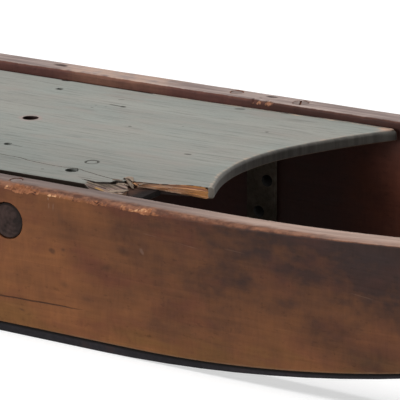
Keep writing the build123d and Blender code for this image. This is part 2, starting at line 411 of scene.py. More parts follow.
def board(sides, u, v, edge, front, back, upright, power=1):
    """Board with a worn rim: two Coons grids joined by a profile carried round their outline.

    The profile leaves the front face with a superellipse of the edge's two depths, crosses the
    thickness and reaches the back face with another. Returns its shell and its attributes.
    """
    n, m = len(u), len(v)
    rim = rim_of(filled(sides, u, v))
    along = np.roll(rim, -1, axis=0) - np.roll(rim, 1, axis=0)
    out = np.stack([along[:, 1], -along[:, 0]], axis=1) / np.hypot(*along.T)[:, None]
    area = np.sum(rim[:, 0] * np.roll(rim[:, 1], -1) - np.roll(rim[:, 0], -1) * rim[:, 1])
    out *= np.sign(area)

    into = np.sign(back - front)
    turn = np.linspace(0, np.pi / 2, QUARTER + 1)[:, None]
    front_in = edge.front.wide * (1 - np.sin(turn) ** edge.front.cut)
    front_at = front + into * edge.front.deep * (1 - np.cos(turn) ** edge.front.cut)
    back_in = edge.back.wide * (1 - np.cos(turn) ** edge.back.cut)
    back_at = back - into * edge.back.deep * (1 - np.sin(turn) ** edge.back.cut)
    share = np.linspace(0, 1, RIM_STEPS + 2)[1:-1, None]
    number = np.arange(len(rim))
    rough = np.stack([wander(number, ROUGH_PITCH, ROUGH_SEED + step) for step in range(RIM_STEPS)])
    middle_in = edge.ragged * (0.5 + 0.5 * rough)
    middle_at = (1 - share) * front_at[-1] + share * back_at[0]
    inset = np.concatenate([front_in, middle_in, back_in])
    depth = np.concatenate([front_at, middle_at, back_at])
    rings = mitred(rim, out, inset, n, m)

    front_grid = filled(sides_of(rings[0], n, m), u, v, power)
    back_grid = filled(sides_of(rings[-1], n, m), u, v, power)
    flat = np.concatenate([front_grid.reshape(-1, 2), back_grid.reshape(-1, 2), rings[1:-1].reshape(-1, 2)])
    third = np.concatenate([np.full(n * m, front), np.full(n * m, back), depth[1:-1].ravel()])
    points = np.column_stack([flat, third])[:, (0, 2, 1) if upright else (0, 1, 2)]

    front_index = np.arange(n * m).reshape(n, m)
    back_index = front_index + n * m
    inner = np.arange(rings[1:-1, :, 0].size).reshape(len(rings) - 2, len(rim)) + 2 * n * m
    ring_index = np.concatenate([rim_of(front_index)[None], inner, rim_of(back_index)[None]])
    quads = [grid_quads(front_index), grid_quads(back_index)[:, ::-1], grid_quads(ring_index, wrap=True)]

    ease = np.linspace(0, 1, QUARTER + 1)
    on_rim = np.concatenate([ease, np.ones(RIM_STEPS), ease[::-1]])[:, None]
    fade = np.concatenate([np.zeros(QUARTER + 1), share[:, 0], np.ones(QUARTER + 1)])[:, None]
    swell = 1.1 - 0.9 * on_rim if edge.chipped else 0.45 + 0.55 * on_rim
    bare = ((1 - fade) * edge.front.bare + fade * edge.back.bare) * swell
    starts = (front_grid[:, :1], front_grid[:, -1:], front_grid[:1], front_grid[-1:])
    low, high, start, end = sides_of(edge.worn, n, m)
    rubs = (low[:, None], high[:, None], start[None], end[None])
    worn = np.max([
        rub * np.exp(-np.linalg.norm(front_grid - begin, axis=2) / WEAR_REACH)
        for rub, begin in zip(rubs, starts)
    ], axis=0)

    def spread(face, ring):
        """Values of both faces and of the rings between them, in the order of the points."""
        faces = np.zeros((2, n * m)) + face
        faces[0, rim_of(front_index)] = ring[0]
        faces[1, rim_of(front_index)] = ring[-1]
        return np.concatenate([faces.ravel(), ring[1:-1].ravel()])

    attributes = {
        "rim": spread(0.0, on_rim * np.ones(len(rim))),
        "bare": spread(0.0, bare),
        "weather": spread(0.0, on_rim * edge.weather),
        "old_and_shaded": spread(0.0, on_rim * edge.old_and_shaded),
        "worn": spread(worn.ravel(), np.ones_like(on_rim) * edge.worn),
    }
    return (points, outwards(points, quads)), attributes


# Materials
def srgb(red, green, blue):
    """Linear colour of an sRGB one given from 0 to 255."""
    share = np.array([red, green, blue]) / 255
    linear = np.where(share <= 0.04045, share / 12.92, ((share + 0.055) / 1.055) ** 2.4)
    return (*linear.tolist(), 1.0)


class Shade:
    """A socket of a material's nodes. Arithmetic on values adds the Math nodes that do it."""

    def __init__(self, tree, socket=None):
        self.tree = tree
        self.socket = socket

    def feed(self, node, inputs):
        """Sets or links the sockets of a node."""
        for key, value in inputs.items():
            if isinstance(value, Shade):
                self.tree.links.new(value.socket, node.inputs[key])
            else:
                node.inputs[key].default_value = value

    def node(self, kind, settings, inputs, output=0):
        """Any node: its settings are set first, then the values or links of its sockets."""
        node = self.tree.nodes.new(kind)
        for key, value in settings.items():
            setattr(node, key, value)
        self.feed(node, inputs)
        return Shade(self.tree, node.outputs[output])

    def math(self, operation, *terms):
        return self.node("ShaderNodeMath", {"operation": operation}, dict(enumerate(terms)))

    def __add__(self, other):
        return self.math("ADD", self, other)

    __radd__ = __add__

    def __sub__(self, other):
        return self.math("SUBTRACT", self, other)

    def __rsub__(self, other):
        return self.math("SUBTRACT", other, self)

    def __mul__(self, other):
        return self.math("MULTIPLY", self, other)

    def __truediv__(self, other):
        return self.math("DIVIDE", self, other)

    def __abs__(self):
        return self.math("ABSOLUTE", self)

    def most(self, other):
        return self.math("MAXIMUM", self, other)

    def least(self, other):
        return self.math("MINIMUM", self, other)

    def power(self, exponent):
        return self.math("POWER", self, exponent)

    def hypot(self, other):
        return (self * self + other * other).power(0.5)

    def between(self, low, high):
        """0 at low, 1 at high, smooth between them and level outside."""
        limits = {"Value": self, "From Min": low, "From Max": high}
        return self.node("ShaderNodeMapRange", {"interpolation_type": "SMOOTHSTEP"}, limits)

    def ramp(self, low, high):
        """0 at low, 1 at high, straight between them and level outside."""
        return self.node("ShaderNodeMapRange", {}, {"Value": self, "From Min": low, "From Max": high})

    def mix(self, bottom, top):
        """One colour laid over another, with this value as the share of the top one."""
        return self.node("ShaderNodeMix", {"data_type": "RGBA"}, {0: self, 6: bottom, 7: top}, 2)

    def tinted(self, value):
        """This colour made lighter or darker by a value."""
        settings = {"data_type": "RGBA", "blend_type": "MULTIPLY"}
        grey = value.node("ShaderNodeCombineColor", {}, {0: value, 1: value, 2: value})
        return self.node("ShaderNodeMix", settings, {0: 1.0, 6: self, 7: grey}, 2)

    def noise(self, stretch, detail, roughness=0.55, twist=0.0):
        """Noise from 0 to 1 with so many cells a metre along X, Y and Z; this is the place."""
        scaled = self.node("ShaderNodeVectorMath", {"operation": "MULTIPLY"}, {0: self, 1: stretch})
        inputs = {"Vector": scaled, "Scale": 1.0, "Detail": detail}
        inputs |= {"Roughness": roughness, "Distortion": twist}
        return self.node("ShaderNodeTexNoise", {}, inputs)

    def from_point(self, point_mm):
        """Distance of this place from a point, in millimetres."""
        point = tuple(value * MM for value in point_mm)
        settings = {"operation": "DISTANCE"}
        return self.node("ShaderNodeVectorMath", settings, {0: self, 1: point}, 1) / MM

    def axes(self):
        """X, Y and Z of this place in millimetres."""
        return [self.node("ShaderNodeSeparateXYZ", {}, {0: self}, axis) / MM for axis in range(3)]

    def marks(self, table, flat_axis, rough, soft=0.7):
        """Small marks on a face: 1 inside ellipses, which a rough value makes ragged; this is the place.

        Each row gives the two places on the face, the two half lengths, a turn in degrees and a strength.
        Soft is the share of the half lengths from which a mark fades.
        """
        seen = None
        keep = [axis for axis in range(3) if axis != flat_axis]
        for a, b, half_a, half_b, turn, strength in table:
            centre, halves, angles = [0.0] * 3, [100.0] * 3, [0.0] * 3
            centre[keep[0]], centre[keep[1]] = a * MM, b * MM
            halves[keep[0]], halves[keep[1]] = half_a * MM, half_b * MM
            angles[flat_axis] = math.radians(turn)
            inputs = {"Vector": self, "Location": centre, "Rotation": angles, "Scale": halves}
            local = self.node("ShaderNodeMapping", {"vector_type": "TEXTURE"}, inputs)
            far = self.node("ShaderNodeVectorMath", {"operation": "LENGTH"}, {0: local}, 1)
            mark = (1.0 - (far + rough).between(soft, 1.05)) * strength
            seen = mark if seen is None else seen.most(mark)
        return seen


class Finish:
    """A material with a Principled surface whose colour, roughness and relief come from expressions."""

    def __init__(self, name):
        self.material = bpy.data.materials.new(name)
        self.material.use_nodes = True
        self.tree = self.material.node_tree
        self.surface = self.tree.nodes["Principled BSDF"]
        self.place = Shade(self.tree).node("ShaderNodeTexCoord", {}, {}, "Object")

    def attribute(self, name):
        """A number kept on the piece's points."""
        return self.place.node("ShaderNodeAttribute", {"attribute_name": name}, {}, "Fac")

    def dress(self, colour, roughness, relief, relief_mm, specular):
        """Connects the surface and returns the material."""
        bump = {"Height": relief, "Distance": relief_mm * MM, "Strength": 1.0}
        normal = self.place.node("ShaderNodeBump", {}, bump)
        inputs = {"Base Color": colour, "Roughness": roughness, "Normal": normal}
        inputs["Specular IOR Level"] = specular
        self.place.feed(self.surface, inputs)
        return self.material


def above_sweep(x, z, start_x, radius, level):
    """Height of a place over a running edge, which is level up to start_x and an arc from there on: the
    radius less the distance from the arc's centre."""
    ahead = (x - start_x).most(0.0)
    return radius - ahead.hypot(level + radius - z)


FACE_SPOTS = (  # x, z, half lengths, turn and strength of dark spots on the right plank's outer face
    (71.9, 69.8, 3.0, 2.0, 20, 0.7), (81.7, 72.1, 2.4, 1.8, 0, 0.6), (134.8, 80.0, 9.0, 4.0, 10, 0.6),
    (119.1, 64.8, 8.0, 4.0, -10, 0.55), (163.0, 69.0, 11.0, 4.5, 0, 0.5), (32.6, 110.5, 3.0, 1.6, 25, 1.0),
    (82.0, 46.0, 6.0, 3.0, 15, 0.4), (101.0, 38.0, 7.0, 4.0, 0, 0.4), (44.0, 20.0, 4.0, 1.4, 10, 0.6),
    (-38.0, 52.0, 6.0, 3.0, 15, 0.5), (-120.0, 88.0, 4.0, 2.4, 0, 0.6), (-214.0, 40.0, 8.0, 3.0, 5, 0.5),
    (-301.0, 70.0, 4.0, 3.0, 0, 0.6), (402.0, 62.0, 6.0, 3.0, 30, 0.5), (262.0, 88.0, 14.0, 5.0, 0, 0.4),
)
FACE_SCUFFS = (  # the same for pale scuffs
    (69.1, 108.6, 0.8, 1.6, 0, 0.7), (69.6, 103.4, 0.6, 3.0, 0, 0.3), (73.4, 103.4, 0.6, 3.6, 4, 0.35),
    (158.0, 95.4, 9.0, 0.4, 4, 0.16), (190.0, 92.6, 12.0, 0.4, 5, 0.16), (226.0, 95.4, 12.0, 0.4, 3, 0.14),
    (150.0, 82.0, 3.0, 1.8, 60, 0.3), (-92.0, 64.0, 16.0, 0.5, -4, 0.25), (-250.0, 92.0, 10.0, 0.5, 6, 0.25),
    (330.0, 80.0, 12.0, 0.4, 5, 0.16),
)
WARM_PATCH_X = -85.0  # middle of the warm patch on the left plank
TOP_STAINS = (  # x, y, half lengths, turn and strength of dark stains on the planks' top edges
    (-145.0, 156.4, 9.0, 3.6, 0, 0.9), (62.8, 158.4, 6.2, 2.6, 12, 1.0), (52.0, -158.4, 3.6, 1.0, 15, 0.8),
    (BAR_XS[2], 156.0, 7.0, 4.0, 0, 0.5), (BAR_XS[1], -153.0, 7.0, 4.0, 0, 0.6),
    (57.0, 150.4, 1.6, 1.6, 0, 0.8),
)


def runner_wood():
    """Brown varnished plank: warm and rubbed low and to the rear, dark and grimy high and to the front,
    dark red-brown inside, paler and redder low down at its front as painted light, with weathered top
    edges and raw wood in the chips."""
    finish = Finish("runner_wood")
    place = finish.place
    x, y, z = place.axes()
    bare = finish.attribute("bare")
    weather = finish.attribute("weather")
    on_left = y.between(0.0, 1.0)

    cloud = place.noise((7.0, 7.0, 13.0), 2.0)
    blotch = place.noise((26.0, 26.0, 40.0), 3.0)
    mottle = place.noise((85.0, 85.0, 120.0), 4.0, 0.6)
    upright = place.noise((170.0, 170.0, 34.0), 3.0, 0.6, 1.6)
    grain = place.noise((11.0, 230.0, 230.0), 4.0, 0.6, 0.8)
    fibre = place.noise((26.0, 200.0, 240.0), 4.0, 0.6)
    speck = place.noise((170.0, 170.0, 330.0), 3.0, 0.6)
    crumb = place.noise((150.0, 150.0, 210.0), 4.0, 0.65)
    streak = place.noise((14.0, 240.0, 240.0), 4.0, 0.6)
    ragged = place.noise((110.0, 110.0, 60.0), 3.0)
    flake = crumb * 0.6 + fibre * 0.4
    flaked = flake.between(0.38, 0.6)
    streaked = streak.between(0.3, 0.7)

    rise = (z - 30.0) / 50.0
    age = 0.09 + x.between(30.0, 320.0) * 0.41
    age = age + (x.between(50.0, 150.0) * 0.36 + x.between(230.0, 340.0) * 0.14) * rise
    age = age + (cloud - 0.5) * 0.7 + (blotch - 0.5) * 1.3 + (mottle - 0.5) * 0.9
    colour = age.ramp(-0.1, 1.1).mix(srgb(148, 95, 59), srgb(58, 40, 35))
    red = place.noise((15.0, 30.0, 30.0), 3.0).between(0.48, 0.66)
    colour = (red * (0.5 - x.between(200.0, 300.0) * 0.3)).mix(colour, srgb(110, 62, 48))
    low = 1.0 - z.between(12.0, 50.0)
    ochre = place.noise((18.0, 18.0, 44.0), 3.0).between(0.44, 0.64) * low * 0.5
    colour = ochre.mix(colour, srgb(122, 88, 46))
    blue = place.noise((11.0, 11.0, 22.0), 2.0).between(0.46, 0.66)
    blue = blue * x.between(150.0, 320.0) * z.between(70.0, 104.0)
    colour = (blue * 0.45).mix(colour, srgb(52, 43, 44))
    tone = 0.18 + mottle * 0.7 + upright * 0.34 + grain * 0.46 - speck.between(0.6, 0.7) * 0.18
    inside = 1.0 - abs(y).between(146.0, 156.0)
    warm = (1.0 - abs(x - WARM_PATCH_X).between(20.0, 70.0)) * blotch.between(0.3, 0.6)
    deep = x.between(20.0, 80.0).mix(srgb(88, 55, 49), srgb(68, 42, 36))
    deep = warm.mix(deep, srgb(116, 80, 66))
    # Painted light: the inner faces paler and redder low down between x 120 and 190, where more light falls.
    deep = (x.between(120.0, 190.0) * (1.0 - z.between(60.0, 108.0))).mix(deep, srgb(114, 65, 50))
    colour = inside.mix(colour, deep).tinted(tone)

    outer = 1.0 - abs(y + RUNNER_OUTER_Y).between(0.5, 1.5)
    spots = place.marks(FACE_SPOTS, 1, (mottle - 0.5) * 1.6 + (blotch - 0.5) * 1.6, 0.0) * outer
    scuffs = place.marks(FACE_SCUFFS, 1, (speck - 0.5) * 1.4, 0.4) * outer
    colour = (spots * 0.75).mix(colour, srgb(48, 36, 33))
    colour = scuffs.mix(colour, srgb(150, 122, 108))
    crack_z = 28.0 + (x - 25.0) * 0.02 + (blotch - 0.5) * 3.0
    crack_width = (1.0 - x.between(62.0, 112.0)) * x.between(-78.0, -50.0) * 0.42
    crack = 1.0 - (abs(z - crack_z) - crack_width).between(-0.2, 0.3)
    crack = crack * outer * crack_width.between(0.02, 0.2)
    colour = (crack * 0.75).mix(colour, srgb(48, 28, 20))

    foot = above_sweep(x, z, WOOD_SWEEP_START_X, WOOD_SWEEP_RADIUS, SHOE_THICKNESS)
    foot = (1.0 - (foot + (ragged - 0.5) * 1.6).between(0.5, 1.7)) * x.between(-20.0, 130.0) * 0.6
    colour = foot.mix(colour, srgb(140, 110, 84))
    eased = (weather + (ragged - 0.5) * 0.6).between(0.1, 0.7)
    eased = eased * (0.2 + abs(y).between(150.0, 160.0) * 0.65)
    colour = eased.mix(colour, flaked.mix(srgb(84, 54, 43), srgb(144, 97, 73)))
    top = (weather + (ragged - 0.5) * 0.5 + (streak - 0.5) * 0.4).between(0.58, 0.82)
    grey_wood = streaked.mix(srgb(130, 115, 111), srgb(176, 158, 151))
    near_wood = streaked.mix(srgb(108, 95, 91), srgb(134, 118, 112))
    pale_wood = streaked.mix(srgb(158, 135, 124), srgb(184, 158, 145))
    near_wood = x.between(110.0, 260.0).mix(near_wood, pale_wood)
    peach = (1.0 - abs(x - WARM_PATCH_X).between(30.0, 75.0)) * on_left * ragged.between(0.3, 0.6) * 0.6
    grey_wood = peach.mix(grey_wood, srgb(196, 164, 146))
    grey_wood = on_left.mix(near_wood, grey_wood.tinted(0.98 + x.between(170.0, 320.0) * 0.13))
    handled = ((streak - 0.5) * 9.0 + (ragged - 0.5) * 7.0 - y).between(154.5, 162.5)
    handled_wood = flaked.mix(srgb(90, 61, 50), srgb(140, 98, 77))
    weathered = (handled * (1.0 - x.between(250.0, 340.0) * 0.55)).mix(grey_wood, handled_wood)
    stains = place.marks(TOP_STAINS, 2, (ragged - 0.5) * 1.2, 0.5)
    weathered = stains.mix(weathered, srgb(46, 29, 28))
    colour = top.mix(colour, weathered)

    raw_wood = flake.between(0.36, 0.6).mix(srgb(92, 54, 36), srgb(160, 106, 74))
    raw_wood = flake.between(0.54, 0.62).mix(raw_wood, srgb(206, 158, 118))
    raw_wood = crumb.between(0.44, 0.36).mix(raw_wood, srgb(60, 33, 24))
    upper = finish.attribute("rim").between(0.4, 0.95) * 0.75
    raw_wood = upper.mix(raw_wood, flaked.mix(srgb(76, 42, 32), srgb(146, 92, 67)))
    strokes = place.noise((420.0, 420.0, 120.0), 2.0)
    far_wood = strokes.between(0.4, 0.6).mix(srgb(66, 41, 34), srgb(146, 102, 78))
    raw_wood = on_left.mix(raw_wood, far_wood)
    chipped = (bare + (ragged - 0.5) * 0.9 + (crumb - 0.5) * 1.2).between(0.48, 0.62)
    colour = chipped.mix(colour, raw_wood)

    relief = grain * 0.4 + fibre * 0.2 + mottle * 0.4 + streak * top * 0.6
    relief = relief - crack * 1.5 + fibre * chipped * 2.0
    roughness = 0.48 + top * 0.3 + chipped * 0.2 + (mottle - 0.5) * 0.2
    return finish.dress(colour, roughness, relief, 0.35, specular=0.12)


DECK_NICKS = (  # x, y, half lengths, turn and strength of dark nicks in the deck's paint
    (-115.5, 111.4, 4.0, 1.5, 0, 1.0), (-44.6, 91.9, 9.0, 1.0, -5, 0.85), (-38.2, 91.4, 3.4, 2.0, 0, 1.0),
    (47.2, 133.6, 5.4, 1.9, 20, 0.9), (104.4, 81.4, 1.7, 1.4, 0, 0.7), (1.8, 41.7, 1.7, 1.4, 0, 0.6),
    (87.0, -6.4, 3.4, 1.4, 8, 0.8), (-58.5, 76.6, 1.6, 1.1, 0, 0.5), (-59.4, 83.7, 1.4, 1.0, 0, 0.35),
    (-49.8, 84.0, 1.3, 1.0, 0, 0.35), (-52.2, 110.0, 3.0, 0.9, 20, 0.55), (15.6, -97.5, 1.6, 1.3, 0, 0.5),
    (86.4, 138.6, 3.4, 1.0, 10, 0.5), (-127.6, 139.4, 5.0, 2.4, 10, 1.0), (38.0, 62.9, 1.3, 1.0, 0, 0.35),
    (-40.0, -52.2, 7.0, 0.45, -4, 0.8), (-210.0, 64.0, 6.0, 0.8, 4, 0.6), (-262.0, -30.0, 2.0, 1.5, 0, 0.7),
    (-300.0, 96.0, 8.0, 0.6, -6, 0.6), (-365.0, 10.0, 3.0, 1.2, 10, 0.7), (-190.0, -52.0, 4.0, 0.8, 3, 0.6),
    (-390.0, -96.0, 3.0, 1.2, 0, 0.6), (-240.0, 120.0, 1.6, 1.3, 0, 0.6), (57.0, -101.6, 7.0, 0.4, 0, 0.8),
)


def deck_paint():
    """Thin grey-green paint gone chalky over the grain, rubbed at its edges, bare in breaks and beneath,
    with painted shade on its rims, hole and split and painted highlights on its far crest and right corner.
    """
    finish = Finish("deck_paint")
    place = finish.place
    x, y, z = place.axes()
    rim, bare, old_and_shaded, worn = (finish.attribute(name) for name in ("rim", "bare", "old_and_shaded", "worn"))

    streak = place.noise((5.0, 240.0, 240.0), 5.0, 0.62)
    dash = place.noise((26.0, 330.0, 330.0), 2.0, 0.5)
    band = place.noise((2.5, 45.0, 45.0), 3.0)
    cloud = place.noise((13.0, 18.0, 18.0), 4.0)
    speck = place.noise((420.0, 420.0, 420.0), 2.0)
    ragged = place.noise((90.0, 200.0, 200.0), 3.0)
    raw = place.noise((20.0, 150.0, 420.0), 4.0, 0.6)

    reach = ((x - BOW_START_X) / BOW_LENGTH).most(0.0)
    level = z - reach.power(BOW_POWER) * BOW_RISE

    colour = cloud.between(0.35, 0.65).mix(srgb(151, 150, 143), srgb(147, 150, 144))
    tone = 0.58 + streak * 0.42 + band * 0.22 + speck * 0.18 - dash.between(0.54, 0.68) * 0.2
    colour = colour.tinted(tone * (0.84 + y.between(-90.0, 30.0) * 0.16))
    pink = place.noise((16.0, 50.0, 50.0), 3.0).between(0.5, 0.7) * 0.4
    colour = pink.mix(colour, srgb(152, 142, 135))
    halo = 1.0 - (place.from_point((*DECK_HOLE, DECK_TOP_Z)) + (ragged - 0.5) * 8.0).between(7.5, 11.5)
    colour = (halo * 0.5).mix(colour, srgb(168, 142, 136))

    rubbed = (worn + (ragged - 0.5) * 1.1 + (streak - 0.5) * 0.6).between(0.5, 0.78)
    colour = (rubbed * 0.75).mix(colour, srgb(178, 160, 145))
    horn = 1.0 - (place.from_point((*HORN_TIP, DECK_TOP_Z)) + (streak - 0.5) * 14.0).between(9.0, 15.0)
    colour = (horn * 0.8).mix(colour, srgb(196, 160, 138))
    nicks = place.marks(DECK_NICKS, 2, (ragged - 0.5) * 0.9)
    colour = nicks.mix(colour, srgb(46, 40, 36))

    torn = (finish.attribute("torn") + (ragged - 0.5) * 0.9 + (streak - 0.5) * 0.6).between(0.42, 0.6)
    slant_y = y + x * TEAR_SLANT
    slanted = place.node("ShaderNodeCombineXYZ", {}, {0: x * MM, 1: slant_y * MM, 2: z * MM})
    shred = slanted.noise((20.0, 300.0, 300.0), 4.0, 0.62)
    torn_wood = shred.between(0.42, 0.6).mix(srgb(62, 46, 40), srgb(158, 134, 122))
    dingy = (y + (ragged - 0.5) * 5.0).between(-118.0, -112.0) * (1.0 - x.between(88.0, 96.0))
    dingy_wood = shred.between(0.4, 0.6).mix(srgb(60, 52, 40), srgb(116, 106, 86))
    torn_wood = (dingy * 0.6).mix(torn_wood, dingy_wood)
    yellow = 1.0 - abs(slant_y + 88.6).between(0.8, 1.8)
    yellow = yellow * x.between(78.0, 80.0) * (1.0 - x.between(85.0, 92.0))
    torn_wood = (yellow * 0.8).mix(torn_wood, srgb(178, 138, 78))
    colour = torn.mix(colour, torn_wood)

    tool = place.noise((40.0, 240.0, 12.0), 3.0)
    ring = abs(place.from_point((*RINGED_NAIL, DECK_TOP_Z + 0.5)) + (ragged - 0.5) * 1.2 - 5.0)
    colour = ((1.0 - ring.between(0.5, 1.2)) * 0.8).mix(colour, srgb(62, 58, 54))

    # Rim colour: darker than the top, as painted shade on edges that face away from the light, and lighter
    # towards the right front corner, as painted light.
    side = tool.between(0.3, 0.7).mix(srgb(84, 81, 77), srgb(104, 101, 95))
    side = ((1.0 - y.between(-70.0, 20.0)) * 0.5).mix(side, srgb(122, 119, 114))
    side = (1.0 - y.between(-78.0, -70.0)).mix(side, srgb(168, 161, 150))
    colour = rim.between(0.1, 0.5).mix(colour, side)
    # Pale crest of the far edge: rubbed paint, made paler still as a painted highlight on a rounding that
    # lies in shade.
    rubbed_lit_crest = rubbed * level.between(DECK_TOP_Z - 1.6, DECK_TOP_Z - 0.4)
    rubbed_lit_crest = rubbed_lit_crest * y.between(DECK_HALF_WIDTH - 3.0, DECK_HALF_WIDTH - 1.5)
    colour = (rubbed_lit_crest * 0.9).mix(colour, srgb(200, 178, 158))
    # Painted shade: the hole's walls near black below its rim.
    from_hole = (x - DECK_HOLE[0]).hypot(y - DECK_HOLE[1])
    bore_shade = 1.0 - from_hole.between(DECK_HOLE_RADIUS, DECK_HOLE_RADIUS + 0.3)
    colour = (bore_shade * level.between(DECK_TOP_Z, DECK_TOP_Z - 0.6)).mix(colour, srgb(46, 30, 27))
    # Painted shade: old split wood turned near black on the split's walls and on the strip's outer edge in
    # the gap by the plank.
    colour = old_and_shaded.between(0.3, 0.7).mix(colour, raw.mix(srgb(38, 31, 27), srgb(58, 47, 40)))
    beneath = 1.0 - level.between(DECK_UNDER_Z + 0.2, DECK_UNDER_Z + 1.0)
    colour = beneath.mix(colour, streak.between(0.3, 0.7).mix(srgb(98, 76, 60), srgb(132, 106, 84)))

    fresh = raw.between(0.3, 0.62).mix(srgb(190, 136, 110), srgb(246, 202, 170))
    fresh = (x.between(124.0, 138.0) * 0.8 * raw.between(0.3, 0.5)).mix(fresh, srgb(240, 172, 92))
    fresh = fresh.tinted(0.62 + x.between(110.0, 142.0) * 0.25)
    shadowed = level + (raw - 0.5) * 2.6 - x.ramp(141.0, 122.0) * 4.2 - x.ramp(122.0, 104.0) * 1.2
    fresh = (1.0 - shadowed.between(DECK_UNDER_Z - 1.0, DECK_UNDER_Z)).mix(fresh, srgb(52, 34, 28))
    seam = (level + (raw - 0.5) * 1.0).between(DECK_TOP_Z - 0.9, DECK_TOP_Z - 0.5)
    seam = seam * ragged.between(0.4, 0.52)
    fresh = seam.mix(fresh, srgb(66, 50, 40))
    pits = x.between(146.6, 148.4) * ragged.between(0.5, 0.56)
    fresh = pits.mix(fresh, srgb(50, 32, 26))
    broken = (bare + (ragged - 0.5) * 0.5).between(0.4, 0.6)
    colour = broken.mix(colour, fresh)

    relief = streak * 0.5 + band * 0.2 + dash * 0.25 - nicks * 1.2 + raw * broken * 2.0 + tool * rim * 0.8
    roughness = 0.6 + (cloud - 0.5) * 0.2 + broken * 0.2
    return finish.dress(colour, roughness, relief, 0.3, specular=0.15)


def bare_wood(name, dark, pale, shade_from_x=None):
    """Bare splintered wood with its grain along the sled, painted near black as shade ahead of an x if one is
    given.
    """
    finish = Finish(name)
    place = finish.place
    fibre = place.noise((24.0, 260.0, 420.0), 4.0, 0.6)
    mottle = place.noise((90.0, 120.0, 120.0), 3.0)
    colour = (fibre * 0.7 + mottle * 0.3).between(0.34, 0.66).mix(dark, pale)
    if shade_from_x is not None:
        # Painted shade: near black where the wood runs into the dark gap.
        painted_shade = (place.axes()[0] + (mottle - 0.5) * 8.0).between(shade_from_x, shade_from_x + 11.0)
        colour = painted_shade.mix(colour, srgb(27, 20, 19))
    return finish.dress(colour, 0.7 + (mottle - 0.5) * 0.2, fibre, 0.4, specular=0.12)


def frame_wood():
    """Bare hardwood of the bars and the rung, dark with age, with faint rings on the tenons' ends, painted
    shade across the front tenons' ends and a black crescent of painted shadow on every tenon end's upper
    front rim.
    """
    finish = Finish("frame_wood")
    place = finish.place
    x, y, z = place.axes()
    grain = place.noise((420.0, 14.0, 420.0), 5.0, 0.6)
    mottle = place.noise((70.0, 40.0, 70.0), 4.0)
    colour = (grain * 0.6 + mottle * 0.4).between(0.3, 0.7).mix(srgb(84, 58, 46), srgb(128, 92, 68))
    end = abs(y).between(RUNNER_OUTER_Y - 3.0, RUNNER_OUTER_Y - 1.5)
    ring = place.from_point((BAR_XS[0] + 5.0, -RUNNER_OUTER_Y, TENON_Z + 4.0)) + mottle * 6.0
    rings = ring.math("SINE", ring * 1.6) * 0.5 + 0.5
    cloud = place.noise((120.0, 120.0, 120.0), 3.0, 0.6)
    # Painted shade: the front tenons' ends darker towards the front.
    pale = rings * 0.06 + mottle * 0.45 + cloud * 0.6 - (x - BAR_XS[0]).ramp(-6.0, 14.0) * 0.14
    grey = pale.between(0.36, 0.66).mix(srgb(32, 23, 20), srgb(69, 53, 49))
    out = None
    # Painted shadow: a black crescent on each tenon end's upper front rim.
    for bar_x in BAR_XS:
        across, up = x - bar_x, z - TENON_Z
        crescent_shadow_reach = across.hypot(up) + (across + up) * 0.06
        out = crescent_shadow_reach if out is None else out.least(crescent_shadow_reach)
    grey = out.between(11.3, 12.9).mix(grey, srgb(24, 14, 10))
    colour = end.mix(colour, grey.tinted(0.8 + grain * 0.4))
    relief = grain * 0.6 + rings * end * 0.4
    return finish.dress(colour, 0.62 + (mottle - 0.5) * 0.2, relief, 0.4, specular=0.12)


def dark_iron(name, dark, pale, runs=False, pit_z=None):
    """Old iron with a fine scale, brown in places; rubbed below and, as painted shade, black against the wood
    if it runs on the snow, and black in the pits below a height."""
    finish = Finish(name)
    place = finish.place
    x, _, z = place.axes()
    scale = place.noise((240.0, 240.0, 240.0), 5.0, 0.65)
    patch = place.noise((26.0, 40.0, 40.0), 4.0)
    colour = (scale * 0.5 + patch * 0.5).between(0.32, 0.7).mix(dark, pale)
    rust = patch.between(0.54, 0.7) * scale.between(0.35, 0.6) * 0.4
    colour = rust.mix(colour, srgb(74, 50, 40))
    roughness = 0.58 + (scale - 0.5) * 0.4 + rust * 0.3
    if runs:
        height = above_sweep(x, z, SWEEP_START_X, SWEEP_RADIUS, 0.0)
        rubbed = (1.0 - height.between(0.1, 0.6)) * (0.4 + patch * 0.6)
        colour = rubbed.mix(colour, srgb(104, 101, 99))
        # Painted shade: black along the iron just under the wood's edge.
        shade_below_wood = above_sweep(x, z, WOOD_SWEEP_START_X, WOOD_SWEEP_RADIUS, SHOE_THICKNESS)
        colour = shade_below_wood.between(-2.4, -0.8).mix(colour, srgb(10, 6, 5))
        roughness = roughness - rubbed * 0.15
    if pit_z is not None:
        colour = z.between(pit_z, pit_z - 0.4).mix(colour, srgb(26, 20, 19))
    return finish.dress(colour, roughness, scale + patch * 0.6, 0.3, specular=0.08)


def floor_white():
    """Pale floor that keeps the sled's soft shadow: white to the camera, duller to the light it returns."""
    material = bpy.data.materials.new("floor_white")
    material.use_nodes = True
    tree = material.node_tree
    tree.nodes.clear()
    shade = Shade(tree)
    path = tree.nodes.new("ShaderNodeLightPath")
    seen = Shade(tree, path.outputs["Is Camera Ray"]).most(Shade(tree, path.outputs["Is Glossy Ray"]))
    matt = shade.node("ShaderNodeBsdfDiffuse", {}, {"Color": (0.56, 0.56, 0.56, 1.0)})
    glow = shade.node("ShaderNodeEmission", {}, {"Color": (1.0, 1.0, 1.0, 1.0), "Strength": 0.56})
    both = shade.node("ShaderNodeAddShader", {}, {0: matt, 1: glow})
    dull = shade.node("ShaderNodeBsdfDiffuse", {}, {"Color": (0.2, 0.2, 0.2, 1.0)})
    mixed = shade.node("ShaderNodeMixShader", {}, {0: seen, 1: dull, 2: both})
    shade.feed(tree.nodes.new("ShaderNodeOutputMaterial"), {"Surface": mixed})
    return material


RUNNER_WOOD = runner_wood()
DECK_PAINT = deck_paint()
FRAME_WOOD = frame_wood()
